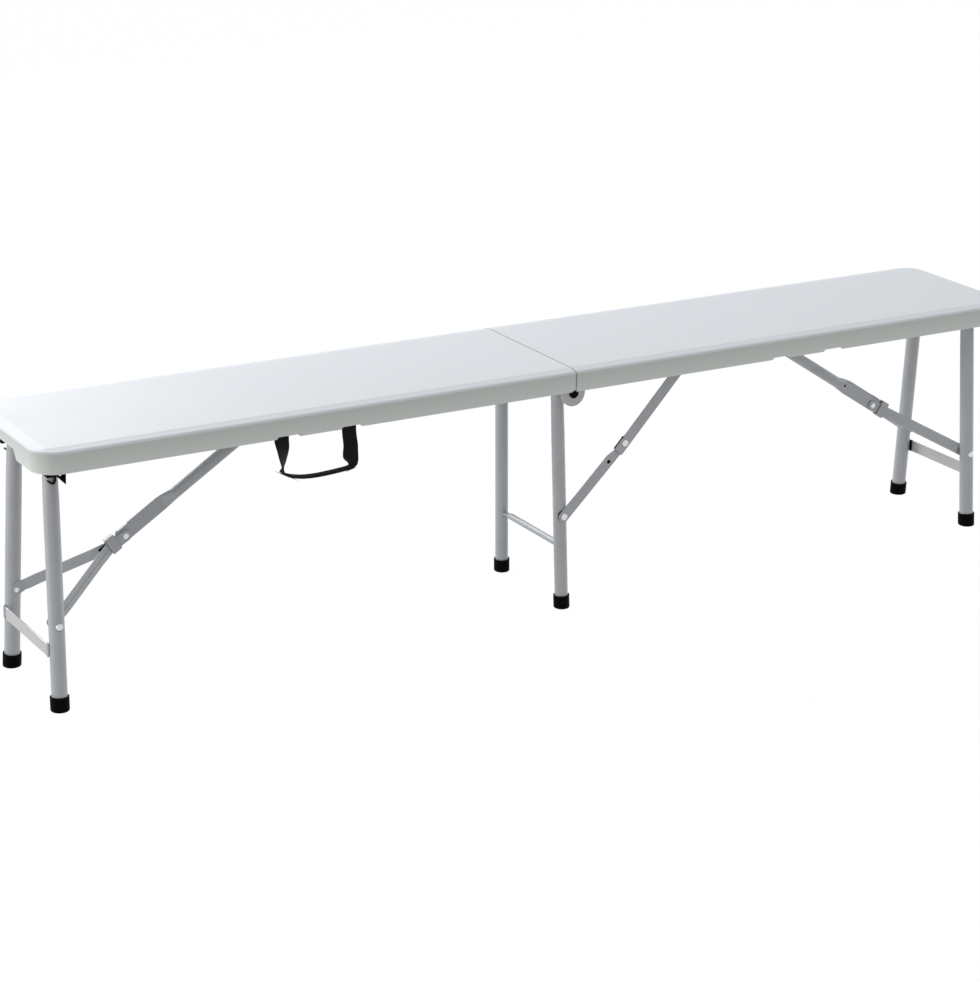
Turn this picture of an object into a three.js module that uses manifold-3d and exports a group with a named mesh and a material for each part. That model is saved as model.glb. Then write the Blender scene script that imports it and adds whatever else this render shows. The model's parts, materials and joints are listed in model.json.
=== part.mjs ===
// Folding bench: two moulded seat halves on a centre hinge, with steel legs that fold inwards.
// Millimetres. X runs along the bench, Y across it and Z up, with the floor at Z = 0.

import * as THREE from 'three';
import { mergeVertices } from 'three/addons/utils/BufferGeometryUtils.js';
import Module from 'manifold-3d';

const wasm = await Module();
wasm.setup();

// Gap between pieces that touch, and how far a cut runs past what it cuts
const clearance = 0.3;
const overrun = 10;

// Seat
const benchLength = 1830;
const benchWidth = 293;
const seatHeight = 426;
const panelHeight = 36;
const jointGap = 2.4;
const seatSkin = 8.5;
const skirtWall = 5;
const cornerRadius = 38;
const shoulderRadius = 7;
const reliefWidth = 27;
const reliefHeight = 6;
const notchDepth = 3.5;
const innerNotchStart = 388;
const innerNotchWidth = 36;
const outerNotchStart = 494;
const outerNotchWidth = 40;
const endCutHalfWidth = 53.5;
const endCutRun = 9.5;
const endCutHeight = 15;

// Centre hinge
const hingeDrop = 5;
const discRadius = 20.5;
const discClearance = 1;
const plateThickness = 2;
const plateReach = 95;
const plateArmHeight = 18;
const plateArmTopInset = 3.2;
const axleRadius = 4.5;
const axleCapRadius = 9.5;
const axleCapThickness = 2.4;

// Rails under the seat
const railWidth = 16;
const railHeight = 24;
const railJointInset = 24;
const railEndInset = 22;

// Tubes of the end legs and of the middle legs
const endTubeRadius = 12.3;
const midTubeRadius = 11;
const tubeWall = 1.5;
const tubeTopRise = 8;

// End legs
const endFootInset = 36.5;
const endFootSideInset = 47.5;
const endPivotInset = 46;
const endPivotSideInset = 77.4;
const endPivotRise = 12;
const pivotRodRadius = 4;
const barHeight = 96;
const barWidth = 20;
const barThickness = 2.5;
const barEndInset = 1;
const blockHalfWidth = 15;
const blockTopRadius = 14;
const blockLength = 46;
const blockHookLength = 42;
const blockNotchLength = 33;
const blockNotchHalfWidth = 2.5;
const blockThickness = 13.5;

// Middle legs
const midFootOffset = 13.4;
const midFootSideInset = 49;
const midPivotSideInset = 58.8;
const midBarHeight = 110;
const midBarRadius = 5.5;

// Rubber feet
const footWall = 2.45;
const footHeight = 23;
const footFloor = 4;
const footChamfer = 1;

// End brace: a tubular link from the seat to the elbow, and two arms from the elbow to the legs
const linkPivotInset = 469.4;
const elbowDrop = 168;
const armRivetDrop = 255;
const foldedElbowRise = 9.5;
const linkPivotRise = 13;
const linkRadius = 8.5;
const linkBoreRadius = 7;
const linkEndRise = 10;
const paddleWidth = 26;
const paddleThickness = 1.8;
const paddleLength = 68;
const paddleTip = 12;
const paddleTipRadius = 6;
const flattenLength = 32;
const rivetOffset = 3;
const stopLength = 20;
const stopLead = 6;
const stopThickness = 1.5;
const stopDepth = 3.4;
const armWidth = 19;
const armThickness = 2;
const armForkStart = 33;
const armEarLength = 12;
const sleeveStart = 15;
const sleeveLength = 16;
const sleeveWall = 1.2;
const sleeveDepth = 12;
const sleeveTopWall = 0.9;

// Middle brace: two flat links beside the near middle leg
const midPinOffset = 240.9;
const midElbowDrop = 115.5;
const midRivetDrop = 226.5;
const midFoldedElbowRise = 10;
const midPinRise = 15;
const midLinkWidth = 19;
const midLinkThickness = 2.5;
const midLinkSweep = 30;
const midStopLength = 26;
const midStopLead = 7;
const midStopGap = 1.8;
const midPinRadius = 4;
const midPinHeadRadius = 7;
const midPinHead = 2;
const midPinSeat = 8;

// Rivets
const rivetRadius = 3;
const elbowRivetHeadRadius = 4.8;
const elbowRivetHead = 0.9;
const rivetHeadRadius = 5.5;
const rivetHead = 2.2;
const domeTopShare = 0.6;
const domeSideShare = 0.4;

// Webbing handle under the left half
const strapThickness = 2.5;
const strapWidth = 26;
const strapNeck = 14;
const strapSpacing = 114;
const strapMiddle = 469.5;
const strapDrop = 2.4;
const gripDrop = 65;
const gripWidth = 14;
const gripThickness = 4.5;
const anchorHeight = 20;

// Counts of sides and steps
const tubeSides = 20;
const rodSides = 16;
const smallSides = 12;
const cornerSteps = 6;
const solveSteps = 48;

// Places worked out from the sizes above
const halfLength = benchLength / 2;
const halfWidth = benchWidth / 2;
const skirtBottom = seatHeight - panelHeight;
const seatUnderside = seatHeight - seatSkin;
const hingeHeight = skirtBottom - hingeDrop;
const jointFace = jointGap / 2;
const skirtInner = halfWidth - skirtWall;
const capOuter = skirtInner - clearance;
const capInner = capOuter - axleCapThickness;
const outerPlateFace = capInner - clearance;
const innerPlateFace = outerPlateFace - plateThickness - clearance;
const railTop = seatUnderside - clearance;
const railBottom = railTop - railHeight;

// Finishes
const finishes = {
  seat: { color: 0xe4ebf0, roughness: 0.55, metalness: 0 },
  steel: { color: 0x9fa3a6, roughness: 0.45, metalness: 0.35 },
  rivet: { color: 0xd6dade, roughness: 0.3, metalness: 0.9 },
  rubber: { color: 0x161617, roughness: 0.75, metalness: 0 },
  plastic: { color: 0x1b1c1e, roughness: 0.6, metalness: 0 },
  webbing: { color: 0x18191b, roughness: 0.9, metalness: 0 },
};

// Signed volume of a triangle mesh
function signedVolume(vertices, triangles) {
  const corner = (index) => new THREE.Vector3().fromArray(vertices, index * 3);
  let volume = 0;
  for (let i = 0; i < triangles.length; i += 3) {
    const side = corner(triangles[i + 1]).cross(corner(triangles[i + 2]));
    volume += corner(triangles[i]).dot(side) / 6;
  }
  return volume;
}

// Solid from a closed geometry, with its faces turned outwards
function solid(geometry) {
  const bare = geometry.clone();
  bare.deleteAttribute('normal');
  bare.deleteAttribute('uv');
  const merged = mergeVertices(bare);
  const vertProperties = Float32Array.from(merged.attributes.position.array);
  const triVerts = Uint32Array.from(merged.index.array);
  if (signedVolume(vertProperties, triVerts) < 0) {
    triVerts.reverse();
  }
  return new wasm.Manifold(new wasm.Mesh({ numProp: 3, vertProperties, triVerts }));
}

// Geometry from a solid
function geometryOf(body) {
  const mesh = body.getMesh();
  const geometry = new THREE.BufferGeometry();
  geometry.setAttribute('position', new THREE.BufferAttribute(Float32Array.from(mesh.vertProperties), 3));
  geometry.setIndex(new THREE.BufferAttribute(Uint32Array.from(mesh.triVerts), 1));
  geometry.computeVertexNormals();
  return geometry;
}

// Named piece in a group
function addPiece(group, name, body, finish) {
  const mesh = new THREE.Mesh(geometryOf(body), new THREE.MeshStandardMaterial(finishes[finish]));
  mesh.name = name;
  group.add(mesh);
  return mesh;
}

// Box between two corners
function block(low, high) {
  const geometry = new THREE.BoxGeometry(high.x - low.x, high.y - low.y, high.z - low.z);
  geometry.translate((low.x + high.x) / 2, (low.y + high.y) / 2, (low.z + high.z) / 2);
  return solid(geometry);
}

// Outline in X and Z, extruded across the bench from one Y to another
function acrossPrism(outline, fromY, toY) {
  const geometry = new THREE.ExtrudeGeometry(outline, {
    depth: Math.abs(toY - fromY), bevelEnabled: false, curveSegments: cornerSteps,
  });
  geometry.rotateX(Math.PI / 2);
  geometry.translate(0, Math.max(fromY, toY), 0);
  return solid(geometry);
}

// Outline in Y and Z, extruded along X
function alongPrism(outline, fromX, toX) {
  const geometry = new THREE.ExtrudeGeometry(outline, {
    depth: toX - fromX, bevelEnabled: false, curveSegments: cornerSteps,
  });
  const turn = new THREE.Matrix4().makeBasis(
    new THREE.Vector3(0, 1, 0), new THREE.Vector3(0, 0, 1), new THREE.Vector3(1, 0, 0));
  geometry.applyMatrix4(turn);
  geometry.translate(fromX, 0, 0);
  return solid(geometry);
}

// Round rod across the bench at a point of the XZ plane
function acrossRod(radius, place, fromY, toY, sides) {
  const geometry = new THREE.CylinderGeometry(radius, radius, Math.abs(toY - fromY), sides);
  geometry.translate(place.x, (fromY + toY) / 2, place.y);
  return solid(geometry);
}

// Rod with a domed head, whose head stands outwards from fromY
function headedRod(radius, place, fromY, toY, headRadius, headHeight) {
  const length = Math.abs(toY - fromY);
  const profile = [
    new THREE.Vector2(0, -headHeight),
    new THREE.Vector2(headRadius * domeTopShare, -headHeight),
    new THREE.Vector2(headRadius, -headHeight * domeSideShare),
    new THREE.Vector2(headRadius, 0),
    new THREE.Vector2(radius, 0),
    new THREE.Vector2(radius, length),
    new THREE.Vector2(0, length),
  ];
  const geometry = new THREE.LatheGeometry(profile, smallSides);
  if (toY < fromY) {
    geometry.rotateX(Math.PI);
  }
  geometry.translate(place.x, fromY, place.y);
  return solid(geometry);
}

// Solid of revolution that stands on a point and points along a direction
function turned(profile, foot, direction, sides) {
  const geometry = new THREE.LatheGeometry(profile, sides);
  const turn = new THREE.Quaternion().setFromUnitVectors(new THREE.Vector3(0, 1, 0), direction);
  geometry.applyQuaternion(turn);
  geometry.translate(foot.x, foot.y, foot.z);
  return solid(geometry);
}

// Open tube that starts at a distance from its foot point
function tube(radius, start, end, foot, direction) {
  const inner = radius - tubeWall;
  const profile = [
    new THREE.Vector2(inner, start),
    new THREE.Vector2(radius, start),
    new THREE.Vector2(radius, end),
    new THREE.Vector2(inner, end),
    new THREE.Vector2(inner, start),
  ];
  return turned(profile, foot, direction, tubeSides);
}

// Round outline with straight sides between two points on the X axis
function barOutline(fromX, toX, radius) {
  const outline = new THREE.Shape();
  outline.absarc(toX, 0, radius, -Math.PI / 2, Math.PI / 2, false);
  outline.absarc(fromX, 0, radius, Math.PI / 2, Math.PI * 1.5, false);
  return outline;
}

// Outline through a list of points
function outlineOf(points) {
  return new THREE.Shape(points.map(([a, b]) => new THREE.Vector2(a, b)));
}

// Elbow of a brace once its leg lies level
function foldedElbowOf(pivot, rivet, elbow, legDirection, elbowZ) {
  const rivetX = pivot.x + legDirection * pivot.distanceTo(rivet);
  const reach = Math.sqrt(elbow.distanceTo(rivet) ** 2 - (elbowZ - pivot.y) ** 2);
  return new THREE.Vector2(rivetX - legDirection * reach, elbowZ);
}

// Elbow of a brace at a height, placed where its link is as long with the bench up as it is folded
function elbowOf(linkPivot, pivot, rivet, legDirection, height, foldedHeight) {
  const elbow = new THREE.Vector2(rivet.x, height);
  let near = rivet.x;
  let far = linkPivot.x;
  for (let step = 0; step < solveSteps; step += 1) {
    elbow.x = (near + far) / 2;
    const folded = foldedElbowOf(pivot, rivet, elbow, legDirection, foldedHeight);
    if (linkPivot.distanceTo(elbow) > linkPivot.distanceTo(folded)) {
      near = elbow.x;
    } else {
      far = elbow.x;
    }
  }
  return elbow;
}

// Axis of a leg from its foot on the floor to its pivot
function legAxis(footX, footY, pivot, pivotY) {
  const foot = new THREE.Vector3(footX, footY, 0);
  const top = new THREE.Vector3(pivot.x, pivotY, pivot.y);
  const at = (height) => foot.clone().lerp(top, height / pivot.y);
  return { foot, top, at, direction: top.clone().sub(foot).normalize(), length: top.distanceTo(foot) };
}

// Solid under the floor, which cuts the feet flat
function underFloor() {
  const side = new THREE.Vector3(benchLength, benchWidth, 0);
  const depth = new THREE.Vector3(0, 0, footHeight);
  return block(side.clone().negate().sub(depth), side);
}

// Tube of a leg, with the hole for its pivot and the hole for its rivet
function legTube(axis, radius, pivotHole, rivetHole) {
  const body = tube(radius, footFloor + clearance, axis.length + tubeTopRise, axis.foot, axis.direction);
  const span = radius + overrun;
  const pivot = acrossRod(pivotHole, new THREE.Vector2(axis.top.x, axis.top.z), axis.top.y - span,
    axis.top.y + span, rodSides);
  const seat = axis.at(rivetHole);
  const rivet = acrossRod(rivetRadius + clearance, new THREE.Vector2(seat.x, seat.z), seat.y - span,
    seat.y + span, smallSides);
  return body.subtract(pivot).subtract(rivet);
}

// Rubber foot, cut level at the floor
function legFoot(axis, radius) {
  const bore = radius + clearance;
  const outer = radius + footWall;
  const profile = [
    new THREE.Vector2(0, -overrun),
    new THREE.Vector2(outer, -overrun),
    new THREE.Vector2(outer, footHeight - footChamfer),
    new THREE.Vector2(outer - footChamfer, footHeight),
    new THREE.Vector2(bore, footHeight),
    new THREE.Vector2(bore, footFloor),
    new THREE.Vector2(0, footFloor),
  ];
  return turned(profile, axis.foot, axis.direction, tubeSides).subtract(underFloor());
}

// Plan of the whole seat, drawn in from its edge
function seatPlan(inset) {
  const x = halfLength - inset;
  const y = halfWidth - inset;
  const radius = cornerRadius - inset;
  const plan = new THREE.Shape();
  plan.absarc(x - radius, y - radius, radius, 0, Math.PI / 2, false);
  plan.absarc(radius - x, y - radius, radius, Math.PI / 2, Math.PI, false);
  plan.absarc(radius - x, radius - y, radius, Math.PI, Math.PI * 1.5, false);
  plan.absarc(x - radius, radius - y, radius, Math.PI * 1.5, Math.PI * 2, false);
  return plan;
}

// Space on the far side of the joint from a distance onwards
function beyond(distance) {
  const reach = new THREE.Vector3(halfLength + overrun, halfWidth + overrun, seatHeight + overrun);
  return block(new THREE.Vector3(distance, -reach.y, skirtBottom - overrun), reach);
}

// Seat half, drawn as the right one
function seatPanel(nearSign, hasRelief) {
  const shell = new THREE.ExtrudeGeometry(seatPlan(shoulderRadius), {
    depth: panelHeight, bevelEnabled: true, bevelSize: shoulderRadius, bevelThickness: shoulderRadius,
    bevelSegments: 3, curveSegments: cornerSteps,
  });
  shell.translate(0, 0, skirtBottom - shoulderRadius);
  const low = new THREE.Vector3(jointFace, -halfWidth - overrun, skirtBottom);
  const high = new THREE.Vector3(halfLength + overrun, halfWidth + overrun, seatHeight + overrun);
  let body = solid(shell).intersect(block(low, high));

  const hollow = new THREE.ExtrudeGeometry(seatPlan(skirtWall), {
    depth: seatUnderside - skirtBottom + overrun, bevelEnabled: false, curveSegments: cornerSteps,
  });
  hollow.translate(0, 0, skirtBottom - overrun);
  body = body.subtract(solid(hollow).intersect(beyond(jointFace + skirtWall)));

  const wallEnd = jointFace + skirtWall + clearance;
  const midTopRadius = Math.hypot(midTubeRadius, tubeTopRise);
  const midY = halfWidth - midPivotSideInset;
  const midHalf = midTubeRadius + discClearance + clearance;
  const slotInner = innerPlateFace - plateThickness - discClearance;
  const slotOuter = skirtInner;
  for (const side of [-1, 1]) {
    const cuts = [
      [midY - midHalf, midY + midHalf, hingeHeight + midTopRadius + discClearance],
      [slotInner, slotOuter, hingeHeight + discRadius + discClearance],
    ];
    for (const [inner, outer, top] of cuts) {
      const ys = [side * inner, side * outer];
      body = body.subtract(block(
        new THREE.Vector3(-overrun, Math.min(...ys), skirtBottom - overrun),
        new THREE.Vector3(wallEnd, Math.max(...ys), top)));
    }
    if (hasRelief) {
      const relief = new THREE.Shape();
      relief.absellipse(0, skirtBottom, reliefWidth, reliefHeight, 0, Math.PI * 2, false);
      body = body.subtract(acrossPrism(relief, side * skirtInner, side * (halfWidth + overrun)));
    }
  }
  for (const [start, width] of [[innerNotchStart, innerNotchWidth], [outerNotchStart, outerNotchWidth]]) {
    const notch = outlineOf([
      [start, skirtBottom - overrun],
      [start + width, skirtBottom - overrun],
      [start + width, skirtBottom],
      [start + width - notchDepth, skirtBottom + notchDepth],
      [start + notchDepth, skirtBottom + notchDepth],
      [start, skirtBottom],
    ]);
    const inner = nearSign * (skirtInner - clearance);
    body = body.subtract(acrossPrism(notch, inner, nearSign * (halfWidth + overrun)));
  }
  const endCut = outlineOf([
    [-endCutHalfWidth, skirtBottom - overrun],
    [endCutHalfWidth, skirtBottom - overrun],
    [endCutHalfWidth, skirtBottom],
    [endCutHalfWidth - endCutRun, skirtBottom + endCutHeight],
    [endCutRun - endCutHalfWidth, skirtBottom + endCutHeight],
    [-endCutHalfWidth, skirtBottom],
  ]);
  return body.subtract(alongPrism(endCut, halfLength - skirtWall - overrun, halfLength + overrun));
}

// Hinge plate: a disc on the hinge axis with an arm along the rail, whose lower edge leaves the disc
// at the tangent angle below the axis
function hingePlate(side, face, tangent) {
  const armTop = railTop - plateArmTopInset - hingeHeight;
  const arm = outlineOf([
    [0, discRadius],
    [plateReach, armTop],
    [plateReach, armTop - plateArmHeight],
    [discRadius * Math.cos(tangent), -discRadius * Math.sin(tangent)],
  ]);
  const outer = side * face;
  const inner = side * (face - plateThickness);
  const disc = acrossRod(discRadius, new THREE.Vector2(0, 0), inner, outer, tubeSides * 2);
  const hole = acrossRod(axleRadius + clearance, new THREE.Vector2(0, 0), inner - side * overrun,
    outer + side * overrun, rodSides);
  return disc.add(acrossPrism(arm, inner, outer)).subtract(hole).translate(0, 0, hingeHeight);
}

// End leg set and brace, drawn for the right end
const endPivot = new THREE.Vector2(halfLength - endPivotInset, skirtBottom + endPivotRise);
const endAxisAt = (side) => legAxis(halfLength - endFootInset, side * (halfWidth - endFootSideInset),
  endPivot, side * (halfWidth - endPivotSideInset));
const endRivetHeight = skirtBottom - armRivetDrop;
const endRivetPoint = endAxisAt(1).at(endRivetHeight);
const endRivet = new THREE.Vector2(endRivetPoint.x, endRivetPoint.z);
const endLinkPivot = new THREE.Vector2(halfLength - linkPivotInset, skirtBottom + linkPivotRise);
const endElbow = elbowOf(endLinkPivot, endPivot, endRivet, -1, skirtBottom - elbowDrop,
  skirtBottom + foldedElbowRise);
const linkSpan = endLinkPivot.distanceTo(endElbow);
const linkReach = Math.sqrt(linkSpan ** 2 - rivetOffset ** 2);
const linkSlope = Math.atan2(endLinkPivot.y - endElbow.y, endElbow.x - endLinkPivot.x);
const linkAngle = linkSlope - Math.asin(rivetOffset / linkSpan);
const armSpan = endElbow.distanceTo(endRivet);
const armAngle = Math.atan2(endElbow.y - endRivet.y, endRivet.x - endElbow.x);
const legLean = Math.asin(endAxisAt(1).direction.x);
const legSplay = Math.abs(endAxisAt(1).direction.y / endAxisAt(1).direction.z);

// Depths across the elbow, from the middle outwards
const armInnerFace = paddleThickness / 2 + clearance;
const armOuterFace = armInnerFace + armThickness;
const elbowHeadFace = armOuterFace + clearance;

// Middle leg set
const midPivot = new THREE.Vector2(0, hingeHeight);
const midAxisAt = (side) => legAxis(midFootOffset, side * (halfWidth - midFootSideInset),
  midPivot, side * (halfWidth - midPivotSideInset));
const midRivetHeight = skirtBottom - midRivetDrop;
const midRivetPoint = midAxisAt(1).at(midRivetHeight);
const midRivet = new THREE.Vector2(midRivetPoint.x, midRivetPoint.z);
const midLinkPivot = new THREE.Vector2(midPinOffset, skirtBottom + midPinRise);
const midElbow = elbowOf(midLinkPivot, midPivot, midRivet, 1, skirtBottom - midElbowDrop,
  skirtBottom + midFoldedElbowRise);
const midSweptFace = midAxisAt(1).at(midRivetHeight - midLinkSweep).y + midTubeRadius;

// Tubular link with a flattened end, along X from its pivot at zero
function tubularLink(nearSign) {
  const flatStart = linkReach - paddleLength;
  const roundEnd = flatStart - flattenLength;
  const rings = [{ x: -linkEndRise, halfY: linkRadius, halfZ: linkRadius }];
  for (let step = 0; step <= cornerSteps; step += 1) {
    const share = step / cornerSteps;
    const flatShare = THREE.MathUtils.smoothstep(share, 0, 1);
    rings.push({
      x: roundEnd + flattenLength * share,
      halfY: THREE.MathUtils.lerp(linkRadius, paddleThickness / 2, flatShare),
      halfZ: THREE.MathUtils.lerp(linkRadius, paddleWidth / 2, flatShare),
    });
  }
  const geometry = new THREE.CylinderGeometry(1, 1, 1, tubeSides, rings.length - 1);
  const position = geometry.attributes.position;
  for (let i = 0; i < position.count; i += 1) {
    const ring = rings[Math.round((position.getY(i) + 0.5) * (rings.length - 1))];
    position.setXYZ(i, ring.x, position.getX(i) * ring.halfY, position.getZ(i) * ring.halfZ);
  }
  const tip = linkReach + paddleTip;
  const half = paddleWidth / 2;
  const bladeStart = flatStart - flattenLength / cornerSteps;
  const blade = outlineOf([
    [bladeStart, half],
    [bladeStart, -half],
    [tip - paddleTipRadius, -half],
    [tip, paddleTipRadius - half],
    [tip, half - paddleTipRadius],
    [tip - paddleTipRadius, half],
  ]);
  const stopEnd = linkReach + stopLead;
  const stop = block(
    new THREE.Vector3(stopEnd - stopLength, Math.min(0, nearSign * (paddleThickness / 2 + stopDepth)),
      half - stopThickness),
    new THREE.Vector3(stopEnd, Math.max(0, nearSign * (paddleThickness / 2 + stopDepth)), half));
  const bore = new THREE.CylinderGeometry(linkBoreRadius, linkBoreRadius, roundEnd + linkEndRise, rodSides);
  bore.rotateZ(Math.PI / 2);
  bore.translate((roundEnd - linkEndRise) / 2 - linkRadius, 0, 0);
  const pivotHole = acrossRod(pivotRodRadius + clearance, new THREE.Vector2(0, 0),
    -linkRadius - overrun, linkRadius + overrun, rodSides);
  const rivetHole = acrossRod(rivetRadius + clearance, new THREE.Vector2(linkReach, -rivetOffset),
    -overrun, overrun, smallSides);
  return solid(geometry)
    .add(acrossPrism(blade, -paddleThickness / 2, paddleThickness / 2))
    .add(stop)
    .subtract(solid(bore))
    .subtract(pivotHole)
    .subtract(rivetHole);
}

// Arm along X from the elbow rivet at zero, bent out to the inner side of its leg
function braceArm(side) {
  const earFace = endRivetPoint.y - endTubeRadius - armEarLength * legSplay - clearance;
  const earInner = earFace - armThickness;
  const earStart = armSpan - armEarLength;
  const half = armWidth / 2;
  const bend = Math.atan2(earInner - armInnerFace, earStart - armForkStart) / 2;
  const miter = armThickness * Math.tan(bend);
  const strip = outlineOf([
    [-half, side * armInnerFace],
    [armForkStart, side * armInnerFace],
    [earStart, side * earInner],
    [armSpan + half, side * earInner],
    [armSpan + half, side * earFace],
    [earStart - miter, side * earFace],
    [armForkStart - miter, side * armOuterFace],
    [-half, side * armOuterFace],
  ]);
  const geometry = new THREE.ExtrudeGeometry(strip, { depth: armWidth, bevelEnabled: false });
  geometry.translate(0, 0, -half);
  const profile = acrossPrism(barOutline(0, armSpan, half), 0, side * halfWidth);
  const hole = acrossRod(rivetRadius + clearance, new THREE.Vector2(0, 0), 0, side * halfWidth, smallSides);
  const head = headedRod(rivetRadius, new THREE.Vector2(armSpan, 0), side * earInner,
    side * (earInner + armThickness / 2), rivetHeadRadius, rivetHead);
  return solid(geometry).intersect(profile).subtract(hole).add(head);
}

// Lock sleeve round the roots of the arms, open along its lower side, with a rib inside each wall
// that bears on its arm between the rivet head and the stop
function lockSleeve() {
  const half = paddleWidth / 2 + clearance;
  const top = half + sleeveTopWall;
  const outer = sleeveDepth / 2;
  const inner = outer - sleeveWall;
  const rib = armOuterFace + clearance;
  const ribLow = elbowRivetHeadRadius - rivetOffset + clearance;
  const ribHigh = paddleWidth / 2 - stopThickness - clearance;
  const rightSide = [
    [inner, half],
    [inner, ribHigh],
    [rib, ribHigh],
    [rib, ribLow],
    [inner, ribLow],
    [inner, -top],
    [outer, -top],
    [outer, top],
  ];
  const leftSide = rightSide.map(([y, z]) => [-y, z]).reverse();
  return alongPrism(outlineOf([...rightSide, ...leftSide]), linkReach + sleeveStart,
    linkReach + sleeveStart + sleeveLength);
}

// Rivet through the elbow, with a low head on each side
function elbowRivet() {
  const place = new THREE.Vector2(0, 0);
  const half = headedRod(rivetRadius, place, -elbowHeadFace, 0, elbowRivetHeadRadius, elbowRivetHead);
  const other = headedRod(rivetRadius, place, elbowHeadFace, 0, elbowRivetHeadRadius, elbowRivetHead);
  return half.add(other);
}

// Plastic block on the pivot rod beside a leg, with a hook and a corner hanging from it
function legBlock(side) {
  const outline = new THREE.Shape();
  outline.absarc(0, 0, blockTopRadius, Math.PI / 6, Math.PI * 5 / 6, false);
  outline.lineTo(-blockHalfWidth, 0);
  outline.lineTo(-blockHalfWidth, -blockLength);
  outline.lineTo(-blockNotchHalfWidth, -blockNotchLength);
  outline.lineTo(blockNotchHalfWidth, -blockNotchLength);
  const hookRadius = (blockHalfWidth - blockNotchHalfWidth) / 2;
  outline.absarc(blockNotchHalfWidth + hookRadius, hookRadius - blockHookLength, hookRadius,
    Math.PI, Math.PI * 2, false);
  outline.lineTo(blockHalfWidth, 0);
  const inner = endAxisAt(1).at(endPivot.y - blockLength).y + endTubeRadius + clearance;
  const hole = acrossRod(pivotRodRadius + clearance, new THREE.Vector2(0, 0), 0, side * halfWidth, rodSides);
  return acrossPrism(outline, side * inner, side * (inner + blockThickness))
    .subtract(hole)
    .rotate(0, THREE.MathUtils.radToDeg(legLean), 0)
    .translate(endPivot.x, 0, endPivot.y);
}

// Group turned in the XZ plane, so that its X axis slopes down by an angle
function slopedGroup(parent, place, slope) {
  const group = new THREE.Group();
  group.position.set(place.x, 0, place.y);
  group.rotation.y = slope;
  parent.add(group);
  return group;
}

// Everything of one end: half seat, rails, hinge plates, legs and brace
function addEnd(bench, end) {
  const { name, turn, nearSign, plateFace, hasRelief } = end;
  const group = new THREE.Group();
  group.rotation.z = turn;
  bench.add(group);
  addPiece(group, `panel_${name}`, seatPanel(nearSign, hasRelief), 'seat');

  const railOuter = plateFace - plateThickness - clearance;
  const railInner = railOuter - railWidth;
  const rodHalf = railOuter - clearance;
  for (const [rod, place] of [['pivot_rod', endPivot], ['link_rod', endLinkPivot]]) {
    addPiece(group, `${name}_${rod}`, acrossRod(pivotRodRadius, place, -rodHalf, rodHalf, rodSides), 'steel');
  }

  for (const side of [-1, 1]) {
    const place = side === nearSign ? 'near' : 'far';
    const axis = endAxisAt(side);
    const ys = [side * railInner, side * railOuter];
    let rail = block(
      new THREE.Vector3(railJointInset, Math.min(...ys), railBottom),
      new THREE.Vector3(halfLength - railEndInset, Math.max(...ys), railTop));
    for (const pivot of [endPivot, endLinkPivot]) {
      rail = rail.subtract(acrossRod(pivotRodRadius + clearance, pivot, 0, side * halfWidth, rodSides));
    }
    if (end.carriesPin && side === nearSign) {
      rail = rail.subtract(acrossRod(midPinRadius + clearance, midLinkPivot, 0,
        side * (railInner + midPinSeat + clearance), rodSides));
    }
    addPiece(group, `rail_${name}_${place}`, rail, 'steel');
    addPiece(group, `hinge_plate_${name}_${place}`, hingePlate(side, plateFace, end.plateTangent), 'steel');
    addPiece(group, `${name}_leg_${place}`,
      legTube(axis, endTubeRadius, pivotRodRadius + clearance, endRivetHeight), 'steel');
    addPiece(group, `${name}_foot_${place}`, legFoot(axis, endTubeRadius), 'rubber');
    addPiece(group, `${name}_leg_block_${place}`, legBlock(side), 'plastic');

    const headFace = endRivetPoint.y + endTubeRadius + rivetHeadRadius * legSplay + clearance;
    const tailFace = endRivetPoint.y - endTubeRadius;
    const rivet = headedRod(rivetRadius, endRivet, side * headFace, side * tailFace,
      rivetHeadRadius, rivetHead);
    addPiece(group, `${name}_leg_rivet_${place}`, rivet, 'rivet');
  }

  const barPlace = endAxisAt(1).at(barHeight);
  const barHalf = barPlace.y - barEndInset;
  const barGroup = slopedGroup(group, new THREE.Vector2(barPlace.x, barPlace.z), legLean);
  const barInner = endTubeRadius + clearance;
  const barEnd = barHalf - barWidth / 2;
  const bar = alongPrism(barOutline(-barEnd, barEnd, barWidth / 2), barInner, barInner + barThickness);
  addPiece(barGroup, `${name}_leg_bar`, bar, 'steel');

  const linkGroup = slopedGroup(group, endLinkPivot, linkAngle);
  addPiece(linkGroup, `${name}_link`, tubularLink(nearSign), 'steel');
  addPiece(linkGroup, `${name}_lock_sleeve`, lockSleeve(), 'steel');

  const armGroup = slopedGroup(group, endElbow, armAngle);
  addPiece(armGroup, `${name}_elbow_rivet`, elbowRivet(), 'rivet');
  for (const side of [-1, 1]) {
    const place = side === nearSign ? 'near' : 'far';
    addPiece(armGroup, `${name}_arm_${place}`, braceArm(side), 'steel');
  }
}

// Axle through both halves and the middle legs
function addHinge(bench) {
  const axleHalf = capInner - clearance;
  addPiece(bench, 'hinge_axle', acrossRod(axleRadius, midPivot, -axleHalf, axleHalf, rodSides), 'steel');
  for (const [place, side] of [['near', -1], ['far', 1]]) {
    const cap = acrossRod(axleCapRadius, midPivot, side * capInner, side * capOuter, tubeSides);
    addPiece(bench, `hinge_cap_${place}`, cap, 'plastic');
  }
}

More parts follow.
